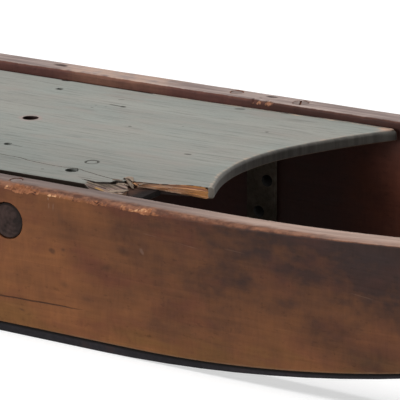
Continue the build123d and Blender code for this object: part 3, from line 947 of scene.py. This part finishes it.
# The ledge turns near black ahead of x 98 as painted shade.
LEDGE_WOOD = bare_wood("ledge_wood", srgb(58, 41, 34), srgb(86, 61, 50), 98.0)
RAW_WOOD = bare_wood("raw_wood", srgb(150, 104, 76), srgb(206, 154, 112))
SHARD_WOOD = bare_wood("shard_wood", srgb(96, 80, 68), srgb(158, 140, 124))
SHOE_IRON = dark_iron("shoe_iron", srgb(32, 30, 33), srgb(52, 49, 53), runs=True)
STRAP_IRON = dark_iron("strap_iron", srgb(108, 102, 90), srgb(172, 165, 150))
NAIL_IRON = dark_iron("nail_iron", srgb(112, 98, 94), srgb(150, 134, 128), pit_z=RUNNER_HEIGHT - 0.5)
BLACK_IRON = dark_iron("black_iron", srgb(18, 17, 17), srgb(34, 32, 31))


# Planks
def angle_of(centre, point):
    """Direction from centre to point, in degrees."""
    return math.degrees(math.atan2(point[1] - centre[1], point[0] - centre[0]))


def circles_meet(centre_a, radius_a, centre_b, radius_b):
    """The forward one of the two points where two circles cross."""
    apart = math.dist(centre_a, centre_b)
    spread = math.degrees(math.acos((radius_a**2 - radius_b**2 + apart**2) / (2 * apart * radius_a)))
    towards = angle_of(centre_a, centre_b)
    return max(tuple(arc(centre_a, radius_a, towards + turn, 0, 1)[0]) for turn in (-spread, spread))


def plank_sides(u, v):
    """Running edge, top edge, tail and nose tip of a plank, in x and z."""
    tail_x = REAR_X + SHOE_THICKNESS
    heel_centre = (REAR_X + HEEL_RADIUS, HEEL_RADIUS)
    sweep_centre = (WOOD_SWEEP_START_X, SHOE_THICKNESS + WOOD_SWEEP_RADIUS)
    nose_centre = (NOSE_X, NOSE_Z)
    rise_centre = (TOP_RISE_START_X, RUNNER_HEIGHT + TOP_RISE_RADIUS)
    tip_centre = circles_meet(
        nose_centre, WOOD_NOSE_RADIUS - NOSE_TIP_RADIUS, rise_centre, TOP_RISE_RADIUS + NOSE_TIP_RADIUS
    )
    tip_start = angle_of(nose_centre, tip_centre)
    rise_end = angle_of(rise_centre, tip_centre)
    joint = angle_of(sweep_centre, nose_centre)
    corner = (tail_x + TAIL_CORNER_RADIUS, RUNNER_HEIGHT - TAIL_CORNER_RADIUS)
    low = spaced([
        arc(heel_centre, HEEL_RADIUS - SHOE_THICKNESS, 180, 270),
        arc(sweep_centre, WOOD_SWEEP_RADIUS, -90, joint),
        arc(nose_centre, WOOD_NOSE_RADIUS, joint, tip_start),
    ], u)
    high = spaced([
        arc(corner, TAIL_CORNER_RADIUS, 180, 90),
        arc(rise_centre, TOP_RISE_RADIUS, -90, rise_end),
    ], u)
    start = spaced([[(tail_x, heel_centre[1]), (tail_x, corner[1])]], v)
    end = spaced([arc(tip_centre, NOSE_TIP_RADIUS, tip_start, rise_end + 180)], v)
    return low, high, start, end


PLANK_STATIONS, PLANK_ROWS = 1000, 22
NAIL_SINK = 1.4  # depth of the planks' nail holes
CHIPS_RIGHT = (  # x and size of the chips along the right plank's outer top edge
    (-480.0, 0.6), (-330.0, 1.0), (-300.0, 2.0), (-270.0, 0.8), (-215.0, 2.6), (-190.0, 0.8), (-60.0, 1.0),
    (-40.0, 2.2), (-10.0, 1.0), (27.0, 1.2), (35.0, 3.0), (40.0, 4.8), (56.0, 4.4), (61.0, 1.6), (68.0, 1.6),
    (74.0, 2.8), (84.0, 2.2), (93.0, 2.8), (102.0, 2.0), (110.0, 2.8), (122.0, 2.0), (132.0, 3.2),
    (144.0, 2.4), (152.0, 2.9), (166.0, 2.1), (178.0, 2.4), (190.0, 1.6), (220.0, 1.2), (300.0, 0.4),
    (380.0, 0.2), (396.0, 1.8), (410.0, 0.3), (480.0, 0.8),
)
CHIPS_LEFT = (  # the same for the left plank's inner top edge
    (-480.0, 0.6), (-280.0, 0.8), (-262.0, 2.4), (-244.0, 0.8), (51.0, 0.7), (54.0, 4.4), (59.0, 4.6),
    (61.0, 2.0), (64.0, 2.0), (66.0, 4.2), (70.0, 4.0), (73.0, 0.8), (230.0, 0.8), (242.0, 2.0), (254.0, 0.8),
    (480.0, 0.8),
)


def chips(x, sizes, seed):
    """Depth of the chips along an edge: their size at each x times three lengths of random bite."""
    bite = 0.45 * np.abs(wander(x, 15.0, seed)) + 0.4 * np.abs(wander(x, 5.0, seed + 1))
    bite += 0.35 * np.abs(wander(x, 2.2, seed + 2))
    return np.interp(x, *np.transpose(sizes)) * (0.2 + bite)


def make_plank(which, side, sizes, outside, nails, seed):
    """Plank of one side with worn edges, bored for the tenons and the rope and sunk for its nails."""
    u = np.linspace(0, 1, PLANK_STATIONS)
    v = crowded(PLANK_ROWS)
    sides = plank_sides(u, v)
    x = rim_of(filled(sides, u, v))[:, 0]
    rubbed = 0.5 * wander(x, 26.0, seed + 5) + 0.3 * wander(x, 5.0, seed + 6)
    edge = Edge(PLANK_STATIONS, PLANK_ROWS, EASED_EDGE * (1 + 0.3 * rubbed), chipped=True)
    on_top = edge.side == HIGH
    on_foot = edge.side == LOW
    if outside:
        edge.back.wide[on_top] *= 0.4
        edge.back.deep[on_top] *= 0.4
        crisp = np.interp(x, [230.0, 340.0], [1.0, 0.5])
        edge.front.wide *= crisp
        edge.front.deep *= crisp
    chip = np.where(on_top, chips(x, sizes, seed), 0)
    worked = edge.front if outside else edge.back
    worked.wide += 0.75 * chip
    worked.deep += 1.1 * chip
    worked.cut = 1 + np.clip(chip / 2.5, 0, 0.8)
    worked.bare = np.clip((chip - 1.0) / 1.4, 0, 1)
    edge.front.wide[on_foot] = edge.front.deep[on_foot] = EASED_FOOT
    edge.ragged = 0.2 * on_top
    edge.weather = np.choose(edge.side, [0.3, 0.95, 1.15, 1.15])

    front, back = side * RUNNER_OUTER_Y, side * RUNNER_INNER_Y
    shell, attributes = board(sides, u, v, edge, front, back, upright=True)
    plank = new_piece(f"plank_{which}", shell, RUNNER_WOOD, f"runner_{which}", attributes)
    middle = (front + back) / 2
    shift_x, shift_z = TENON_HOLE_SHIFT
    bores = [(bar_x + shift_x, TENON_Z + shift_z, TENON_HOLE_RADIUS) for bar_x in BAR_XS]
    bores += [(RUNG_X, RUNG_Z, RUNG_HOLE_RADIUS), (ROPE_HOLE_X, ROPE_HOLE_Z, ROPE_HOLE_RADIUS)]
    cutters = [drill((bore_x, middle, bore_z), 1, radius, -30.0, 30.0) for bore_x, bore_z, radius in bores]
    cutters += [drill((*spot, RUNNER_HEIGHT), 2, radius + 0.3, -NAIL_SINK, 9.0) for *spot, radius in nails]
    carve(plank, cutters)


# Deck
VISIBLE_SPLIT = np.array([  # x, y along the split as it wanders between the part's own points
    (-430.0, -74.0), (-330.0, -74.0), (-150.0, -77.0), (-37.5, -78.6), (-17.0, -79.4), (-9.0, -82.4),
    (12.0, -84.6), (27.0, -84.6), (31.5, -83.4), (36.6, -82.6), (41.0, -83.6), (46.0, -86.0), (58.0, -89.2),
    (66.0, -91.4), (73.0, -92.9), (80.0, -93.4), (88.0, -91.8),
])


def split_y(x):
    """Where the split runs across the deck at each x, with a small wander of its own."""
    return np.interp(x, *VISIBLE_SPLIT.T) + 0.2 * wander(x, 6.0, 11) + 0.15 * wander(x, 2.5, 12)


def bowed(shell):
    """A shell bowed up with the deck towards its front: the rise grows as a power of the reach."""
    points, blocks = shell
    reach = np.clip((points[:, 0] - BOW_START_X) / BOW_LENGTH, 0, None)
    return points + np.outer(BOW_RISE * reach**BOW_POWER, (0.0, 0.0, 1.0)), blocks


def scoop_x(y):
    """Front edge of the deck at each y: a middle arc with a flatter one on each side."""
    centre_x = SCOOP_APEX_X + SCOOP_MIDDLE_RADIUS
    turn = math.asin(SCOOP_MIDDLE_HALF_WIDTH / SCOOP_MIDDLE_RADIUS)
    beyond = SCOOP_FLANK_RADIUS - SCOOP_MIDDLE_RADIUS
    flank_x = centre_x + beyond * math.cos(turn)
    flank_y = -beyond * math.sin(turn)
    middle = centre_x - np.sqrt(np.clip(SCOOP_MIDDLE_RADIUS**2 - y**2, 0, None))
    flank = flank_x - np.sqrt(SCOOP_FLANK_RADIUS**2 - (np.abs(y) - flank_y) ** 2)
    return np.where(np.abs(y) < SCOOP_MIDDLE_HALF_WIDTH, middle, flank)


def rounded(before, corner, after):
    """Points that round a corner: the quadratic curve from before to after that it pulls."""
    t = np.linspace(0, 1, 24)[:, None]
    return (1 - t) ** 2 * np.array(before) + 2 * t * (1 - t) * np.array(corner) + t**2 * np.array(after)


def broken_y(x):
    """Where the broken edge runs at each x, splintered along the grain."""
    return np.interp(x, *BROKEN_EDGE.T) + 0.5 * wander(x, 9.0, 21) + 0.35 * wander(x, 3.0, 22)


DECK_STATIONS, DECK_ROWS = 480, 70
DECK_NAILS = (  # x, y, radius and depth below the paint of the nail heads in the deck
    (*RINGED_NAIL, 4.4, 0.1), (-115.5, 113.0, 2.4, 1.2), (-49.5, -51.6, 2.8, 2.0),
    (BAR_XS[1], -40.0, 4.0, 0.4), (BAR_XS[1], 30.0, 4.0, 0.6), (BAR_XS[2], -45.0, 4.0, 0.4),
    (BAR_XS[2], 40.0, 4.0, 0.5), (BAR_XS[2], 116.0, 4.0, 0.4),
)
STRIP_NAILS = ((BAR_XS[1], -98.0, 4.0, 0.4), (BAR_XS[2], -97.0, 4.0, 0.5))
TONGUE_NAILS = ((36.6, -88.6, 4.8, 2.0),)


def nail_holes(nails):
    """Cutters for the round hole that each nail head has sunk."""
    return [bowed(drill((x, y, DECK_TOP_Z), 2, size + 0.5, -sunk - 1.0, 6.0)) for x, y, size, sunk in nails]


def make_deck_board():
    """The painted board on the left of the split, broken at its right front corner."""
    u = np.linspace(0, 1, DECK_STATIONS)
    v = crowded(DECK_ROWS)
    split_x = np.linspace(DECK_REAR_X, BREAK_START_X, 600)
    break_x = np.linspace(BREAK_START_X, BREAK_END_X, 120)[1:]
    split = np.column_stack([split_x, split_y(split_x) + SPLIT_HALF_WIDTH])
    low = spaced([split, np.column_stack([break_x, broken_y(break_x)])], u)
    horn = (float(scoop_x(np.array(DECK_HALF_WIDTH))), DECK_HALF_WIDTH)
    front_y = np.linspace(low[-1, 1], DECK_HALF_WIDTH - HORN_CORNER_RADIUS, 400)
    front = np.column_stack([scoop_x(front_y), front_y])
    low[-1] = front[0]
    tip = rounded(front[-1], horn, (horn[0] - HORN_CORNER_RADIUS, horn[1]))
    end = spaced([front, tip], v)
    rear_centre = (DECK_REAR_X + DECK_CORNER_RADIUS, DECK_HALF_WIDTH - DECK_CORNER_RADIUS)
    rear_corner = arc(rear_centre, DECK_CORNER_RADIUS, 180, 90)
    start = spaced([low[:1], rear_corner], v)
    high = spaced([rear_corner[-1:], tip[-1:]], u)
    sides = (low, high, start, end)

    rim_x, rim_y = rim_of(filled(sides, u, v)).T
    edge = Edge(DECK_STATIONS, DECK_ROWS, 1.2)
    on_right = edge.side == LOW
    on_front = edge.side == END
    edge.ease(on_right, 0.25)
    tip_wear = np.interp(rim_y, [DECK_HALF_WIDTH - 16.0, DECK_HALF_WIDTH - 4.0], [0, 1])
    tip_wear *= np.interp(rim_x, TIP_WEAR_X, [0, 1])
    edge.front.wide[on_front] = 3.0 + 0.5 * wander(rim_y[on_front], 9.0, 31)
    edge.front.deep[on_front] = 2.8
    edge.front.wide += 2.0 * tip_wear
    edge.front.deep += 2.4 * tip_wear
    broken = on_right * np.interp(rim_x, [BREAK_START_X - 6.0, BREAK_START_X + 2.0], [0, 1])
    broken *= np.interp(rim_x, FRESH_END_X, [1, 0])
    under = broken * np.interp(rim_x, UNDERCUT_X, [1, 0])
    corner = np.interp(rim_y, [-76.0, -60.0], [1, 0]) * (rim_x > 149.0)
    edge.back.wide += 5.0 * under + 0.4 * corner
    edge.back.deep += 4.0 * under + 0.4 * corner
    edge.back.cut += under
    edge.front.bare[:] = edge.back.bare[:] = broken
    edge.ragged = np.where(broken > 0.5, 0.9, 0.1)
    # The split's walls: old wood, painted near black as shade.
    edge.old_and_shaded = np.where(on_right & (rim_x < BREAK_START_X + 2.0), 1 - broken, 0)
    edge.worn = np.choose(edge.side, [0.0, 0.6, 1.25, 0.6])
    shell, attributes = board(sides, u, v, edge, DECK_TOP_Z, DECK_UNDER_Z, upright=False)
    deck = new_piece("deck_painted", bowed(shell), DECK_PAINT, "deck_board", attributes)
    hole = drill((*DECK_HOLE, DECK_TOP_Z), 2, DECK_HOLE_RADIUS, -20.0, 10.0)
    carve(deck, [hole, *nail_holes(DECK_NAILS)])


STRIP_STATIONS, STRIP_ROWS = 420, 20
STRIP_OUTSIDE = (  # x, y along the snapped end, from the strip's straight edge to the end's front
    (66.0, STRIP_EDGE_Y), (71.8, -120.5), (78.6, -126.5), (83.7, -128.8), (94.4, -126.6), (105.0, -124.2),
)
STRIP_END = ((104.8, -120.0), (103.4, -114.6), (100.3, -109.4), (97.6, -105.4), (91.1, -101.6))
STRIP_INSIDE = (
    (50.0, -103.6), (56.5, -105.4), (62.0, -106.8), (67.0, -108.6), (71.4, -110.6), (82.4, -107.4),
    (88.0, -103.6),
)
TONGUE_STATIONS, TONGUE_ROWS = 120, 10
TONGUE_START_X = 2.0  # where the inner sliver of the strip leaves it
TONGUE_SUNK = 0.05  # its top below that of the strip, whose edge it runs under as far as the tear
TONGUE_OUTSIDE = (
    (50.0, -104.4), (55.0, -105.2), (60.0, -105.2), (67.3, -105.7), (69.9, -106.3), (80.1, -101.9),
)
TONGUE_END = ((80.9, -96.6), (84.0, -95.6), (87.4, -95.0))


def make_deck_strip():
    """The split strip: straight outer edge, its snapped end leaning out and torn bare."""
    u = np.linspace(0, 1, STRIP_STATIONS)
    v = crowded(STRIP_ROWS)
    inner_x = np.linspace(DECK_REAR_X, TONGUE_START_X, 400)
    inside = np.column_stack([inner_x, split_y(inner_x) - SPLIT_HALF_WIDTH])
    low = spaced([[(DECK_REAR_X, STRIP_EDGE_Y)], STRIP_OUTSIDE], u)
    low[:, 1] += 0.15 * wander(low[:, 0], 14.0, 51)
    high = spaced([inside, STRIP_INSIDE], u)
    start = spaced([low[:1], high[:1]], v)
    end = spaced([low[-1:], STRIP_END, high[-1:]], v)
    sides = (low, high, start, end)
    rim_x = rim_of(filled(sides, u, v))[:, 0]
    edge = Edge(STRIP_STATIONS, STRIP_ROWS, 0.3)
    seam = (edge.side == HIGH) & (rim_x > TONGUE_START_X) & (rim_x < STRIP_INSIDE[1][0])
    edge.ease(seam, 0.05)
    torn_x = np.where(edge.side == LOW, TORN_OUTSIDE_X, TORN_INSIDE_X)
    torn = np.where(edge.side == END, 1.0, rim_x > torn_x)
    edge.front.bare[:] = edge.back.bare[:] = 0.75 * torn
    edge.ragged = 0.9 * torn
    # Its outer edge, in the gap by the plank, is old wood painted near black as shade.
    edge.old_and_shaded = 1 - torn
    edge.worn = np.choose(edge.side, [0.3, 0.0, 0.0, 0.6])
    shell, attributes = board(sides, u, v, edge, DECK_TOP_Z, DECK_UNDER_Z, upright=False, power=24)
    attributes["torn"] = np.interp(shell[0][:, 0], [TEAR_START_X, 72.0], [0.0, 1.0])
    shell = bowed(shell)
    strip = new_piece("deck_strip_painted", shell, DECK_PAINT, "deck_split_strip", attributes)
    carve(strip, nail_holes(STRIP_NAILS))


def make_tongue():
    """Painted sliver of the strip that still lies along the split, to a point beside the snapped end."""
    u = np.linspace(0, 1, TONGUE_STATIONS)
    v = crowded(TONGUE_ROWS)
    inner_x = np.linspace(TONGUE_START_X, BREAK_START_X, TONGUE_STATIONS)
    high = np.column_stack([inner_x, split_y(inner_x) - SPLIT_HALF_WIDTH])
    low = spaced([high[:1] - np.array([0.0, 0.4]), TONGUE_OUTSIDE], u)
    low[:, 1] += 0.3 * wander(low[:, 0], 3.0, 61) * (low[:, 0] > TEAR_START_X)
    sides = (low, high, spaced([low[:1], high[:1]], v), spaced([low[-1:], TONGUE_END, high[-1:]], v))
    edge = Edge(TONGUE_STATIONS, TONGUE_ROWS, 0.05)
    rim_x = rim_of(filled(sides, u, v))[:, 0]
    torn = np.where((rim_x > TEAR_START_X) & (edge.side != HIGH), 1.0, 0.0)
    edge.front.bare[:] = edge.back.bare[:] = 0.3 * torn
    edge.ragged = 0.5 * torn
    edge.old_and_shaded = 1 - 0.4 * torn
    top, under = DECK_TOP_Z - TONGUE_SUNK, DECK_UNDER_Z + TONGUE_SUNK
    shell, attributes = board(sides, u, v, edge, top, under, upright=False)
    tongue = new_piece("deck_strip_tongue", bowed(shell), DECK_PAINT, None, attributes)
    carve(tongue, nail_holes(TONGUE_NAILS))


LEDGE_STATIONS, LEDGE_ROWS = 60, 16
LEDGE_START_X = 78.0
LEDGE_EDGE_Y = -113.6
LEDGE_INSIDE = np.array([(LEDGE_START_X, -89.3), (BREAK_START_X, -89.9), (152.0, -79.9)])  # x, y


def make_ledge():
    """Lower layer of the strip, left where its upper layer has snapped off, with a square end."""
    u = np.linspace(0, 1, LEDGE_STATIONS)
    v = crowded(LEDGE_ROWS)
    inner_x = np.linspace(LEDGE_START_X, LEDGE_END_X, LEDGE_STATIONS)
    high = np.column_stack([inner_x, np.interp(inner_x, *LEDGE_INSIDE.T)])
    low = np.column_stack([inner_x + 0.4, LEDGE_EDGE_Y + 0.3 * wander(inner_x, 5.0, 71)])
    end = spaced([low[-1:], high[-1:]], v)
    end[1:-1, 0] += 0.3 * wander(end[1:-1, 1], 3.0, 72)
    sides = (low, high, spaced([low[:1], high[:1]], v), end)
    edge = Edge(LEDGE_STATIONS, LEDGE_ROWS, 0.4)
    edge.ragged[:] = 0.2
    shell, attributes = board(sides, u, v, edge, LEDGE_TOP_Z, DECK_UNDER_Z, upright=False)
    new_piece("deck_strip_ledge", bowed(shell), LEDGE_WOOD, None, attributes)


# Splinters at the break
SHARDS = (  # path, widths from end to end and thickness of the grey shards, a curled flake first
    (((83.0, -89.2, 106.2), (86.2, -89.4, 108.0), (90.2, -90.4, 108.5), (94.4, -92.8, 106.6)),
     (1.2, 6.2, 5.2, 1.0), 0.8),
    (((88.0, -91.6, 107.8), (91.0, -93.0, 106.2), (94.2, -95.0, 104.2), (96.8, -97.0, 102.2)),
     (3.0, 3.8, 3.2, 1.4), 0.9),
    (((99.0, -93.4, 103.6), (101.0, -92.4, 105.6), (104.5, -91.4, 106.3), (107.0, -90.6, 105.8)),
     (1.0, 2.4, 1.8, 0.5), 0.6),
    (((86.0, -94.4, 106.2), (82.0, -94.9, 106.8), (78.0, -96.2, 106.5)), (0.8, 2.2, 0.7), 0.7),
    (((84.0, -98.0, 104.8), (90.0, -99.6, 106.0), (96.5, -102.4, 106.2)), (2.8, 2.4, 0.6), 0.8),
    (((88.0, -119.2, 106.4), (91.6, -121.2, 106.7), (96.0, -123.0, 106.4)), (0.5, 1.5, 0.6), 0.7),
    (((92.5, -125.6, 105.9), (97.0, -122.4, 106.7), (101.5, -119.0, 106.9), (104.6, -114.8, 106.5)),
     (1.0, 6.4, 6.0, 1.2), 1.2),
)
SPLINTERS = (  # the same for the raw ones
    (((91.6, -90.8, 105.4), (94.5, -92.2, 105.3), (98.0, -92.6, 104.0)), (0.8, 2.2, 0.7), 0.8),
    (((101.0, -91.5, 104.2), (110.0, -90.3, 104.4), (121.0, -86.9, 103.4)), (0.8, 1.6, 0.6), 0.8),
    (((112.0, -88.9, 102.8), (124.0, -85.9, 102.2), (139.0, -80.2, 101.4)), (0.7, 1.5, 0.6), 0.8),
    (((124.0, -85.5, 104.0), (135.0, -81.2, 103.8), (149.0, -78.3, 103.0)), (0.6, 1.5, 0.8), 0.8),
    (((130.0, -82.8, 100.0), (139.0, -79.8, 99.4), (151.0, -78.7, 98.8)), (0.6, 1.4, 0.7), 0.8),
)


# Nails, screws and bolts
SHANK_LENGTH = 4.0
SHANK_SHARE = 0.35  # of the head's radius


def nail_head(centre, axis, radius, rise, facing=1):
    """Low domed head with a short shank: its profile turned round the nail's axis."""
    shank = SHANK_SHARE * radius
    dome = [(radius * share, rise * (1 - share**2)) for share in (0.95, 0.8, 0.55, 0.3)]
    profile = [(0, -SHANK_LENGTH), (shank, -SHANK_LENGTH), (shank, -0.8), (radius, -0.6), *dome, (0, rise)]
    return turned(centre, axis, [(size, facing * height) for size, height in profile])


PLANK_NAILS = {  # x, y and radius of the nails that pin the tenons, from above
    "right": ((31.5, -152.6, 4.6), (BAR_XS[1] + 1.5, -155.4, 4.6), (BAR_XS[2] - 1.0, -154.6, 4.6)),
    "left": ((30.2, 157.0, 5.2), (BAR_XS[2] + 1.2, 155.2, 4.6)),
}
SCREW = (92.0, 154.4, 6.2)  # x, y and radius of the slotted screw in the left plank's top
SCREW_SLOT = (0.8, 1.8)  # half width and depth
SCREW_TURN = 116.0  # degrees from the X axis to the slot
STRAP_BOLTS = ((69.5, 48.7), (61.8, 21.5), (63.0, 82.0))  # x, z
STRAP_BOLT_RADIUS = 5.4


def make_fasteners():
    """Every nail, screw and bolt, gathered by its finish."""
    heads = []
    for nails in PLANK_NAILS.values():
        heads += [nail_head((x, y, RUNNER_HEIGHT - 0.4), 2, radius, 0.3) for x, y, radius in nails]
    new_piece("plank_nails", gathered(heads), NAIL_IRON)
    deck_nails = (*DECK_NAILS, *STRIP_NAILS, *TONGUE_NAILS)
    sunk = [nail for nail in deck_nails if nail[3] > 1.0]
    flush = [nail for nail in deck_nails if nail[3] <= 1.0]
    for name, nails, material, slot in (
        ("sunk_nails", sunk, BLACK_IRON, "strap_iron"), ("painted_nails", flush, DECK_PAINT, "deck_paint"),
    ):
        shells = [nail_head((x, y, DECK_TOP_Z - depth), 2, radius, 0.1) for x, y, radius, depth in nails]
        new_piece(name, bowed(gathered(shells)), material)

    x, y, radius = SCREW
    half, depth = SCREW_SLOT
    top = RUNNER_HEIGHT - 0.3
    profile = [(0, -14.0), (1.6, -12.0), (2.4, -6.0), (radius - 0.3, -0.8), (radius, 0.0)]
    profile += [(radius - 0.4, 0.3), (0, 0.4)]
    screw = new_piece("slotted_screw", turned((x, y, top), 2, profile, 48), NAIL_IRON)
    turn = math.radians(SCREW_TURN)
    slot_points, slot_faces = box_shell((-20.0, -half, -depth), (20.0, half, 4.0))
    spun = slot_points.copy()
    spun[:, 0] = slot_points[:, 0] * math.cos(turn) - slot_points[:, 1] * math.sin(turn)
    spun[:, 1] = slot_points[:, 0] * math.sin(turn) + slot_points[:, 1] * math.cos(turn)
    carve(screw, [(spun + np.array([x, y, top]), slot_faces)])

    bolts = []
    for side in (-1, 1):
        for bolt_x, bolt_z in STRAP_BOLTS:
            centre = (bolt_x, side * (STRAP_FACE_Y + 0.3), bolt_z)
            bolts.append(nail_head(centre, 1, STRAP_BOLT_RADIUS, 2.2, -side))
    new_piece("strap_bolts", gathered(bolts), BLACK_IRON)


make_plank("right", -1, CHIPS_RIGHT, True, PLANK_NAILS["right"], 100)
make_plank("left", 1, CHIPS_LEFT, False, (*PLANK_NAILS["left"], SCREW), 200)
make_deck_board()
make_deck_strip()
make_tongue()
make_ledge()
for name, slivers, material in (("grey_shards", SHARDS, SHARD_WOOD), ("raw_splinters", SPLINTERS, RAW_WOOD)):
    new_piece(name, bowed(gathered([sliver(*row) for row in slivers])), material)
make_fasteners()
NODE_FINISHES = {"cross_bar": FRAME_WOOD, "nose_rung": FRAME_WOOD, "shoe": SHOE_IRON, "strap": STRAP_IRON}
for node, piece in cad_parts.items():
    for prefix, material in NODE_FINISHES.items():
        if node.startswith(prefix):
            piece.material_slots[0].material = material


# Camera, light and floor
CAMERA_TARGET = Vector((0.0938, 0.0, 0.0707))
CAMERA_DISTANCE = 2.255
CAMERA_AZIMUTH = 32.35
CAMERA_ELEVATION = 16.27
CAMERA_LENS = 264.6
SUNS = (  # name, azimuth, elevation, spread and strength of each even soft light
    ("overhead", -70.0, 78.0, 44.0, 2.65), ("low_fill", -20.0, 11.0, 24.0, 1.7),
    ("back_fill", 165.0, 9.0, 30.0, 0.9),
)
FLOOR_REACH = 30.0  # metres from the sled to the floor's edges


def direction(azimuth, elevation):
    """Unit vector from the sled towards a viewer or a lamp at these angles, azimuth 0 on the right side."""
    turn, tilt = math.radians(azimuth), math.radians(elevation)
    return Vector((math.sin(turn) * math.cos(tilt), -math.cos(turn) * math.cos(tilt), math.sin(tilt)))


def add_camera():
    """The photograph's view, as fitted to the straight edges of the planks, the deck and the iron."""
    data = bpy.data.cameras.new("camera")
    data.lens = CAMERA_LENS
    data.sensor_width = 36.0
    data.clip_end = 100.0
    camera = placed("camera", data)
    back = direction(CAMERA_AZIMUTH, CAMERA_ELEVATION)
    camera.location = CAMERA_TARGET + CAMERA_DISTANCE * back
    camera.rotation_euler = back.to_track_quat("Z", "Y").to_euler()
    bpy.context.scene.camera = camera


def add_sun(name, azimuth, elevation, spread, strength):
    """Light from a wide patch of sky; angles in degrees."""
    data = bpy.data.lights.new(name, "SUN")
    data.angle = math.radians(spread)
    data.energy = strength
    placed(name, data).rotation_euler = direction(azimuth, elevation).to_track_quat("Z", "Y").to_euler()


def add_world():
    """White to the camera and in reflections, a dim even light to everything else."""
    world = bpy.data.worlds.new("studio")
    world.use_nodes = True
    tree = world.node_tree
    tree.nodes.clear()
    path = tree.nodes.new("ShaderNodeLightPath")
    seen = Shade(tree, path.outputs["Is Camera Ray"])
    shiny = Shade(tree, path.outputs["Is Glossy Ray"]).most(Shade(tree, path.outputs["Is Transmission Ray"]))
    strength = 0.05 + seen * 0.95 + shiny * 0.45
    back = seen.node("ShaderNodeBackground", {}, {"Color": (1.0, 1.0, 1.0, 1.0), "Strength": strength})
    seen.feed(tree.nodes.new("ShaderNodeOutputWorld"), {"Surface": back})
    bpy.context.scene.world = world


def add_floor():
    """Flat floor with its middle under the sled."""
    mesh = bpy.data.meshes.new("floor")
    corners = [(FLOOR_REACH * x, FLOOR_REACH * y, 0) for x, y in ((-1, -1), (1, -1), (1, 1), (-1, 1))]
    mesh.from_pydata(corners, [], [(0, 1, 2, 3)])
    mesh.materials.append(floor_white())
    floor = placed("floor", mesh)


add_camera()
for sun in SUNS:
    add_sun(*sun)
add_world()
add_floor()
bpy.context.scene.view_settings.view_transform = "Standard"
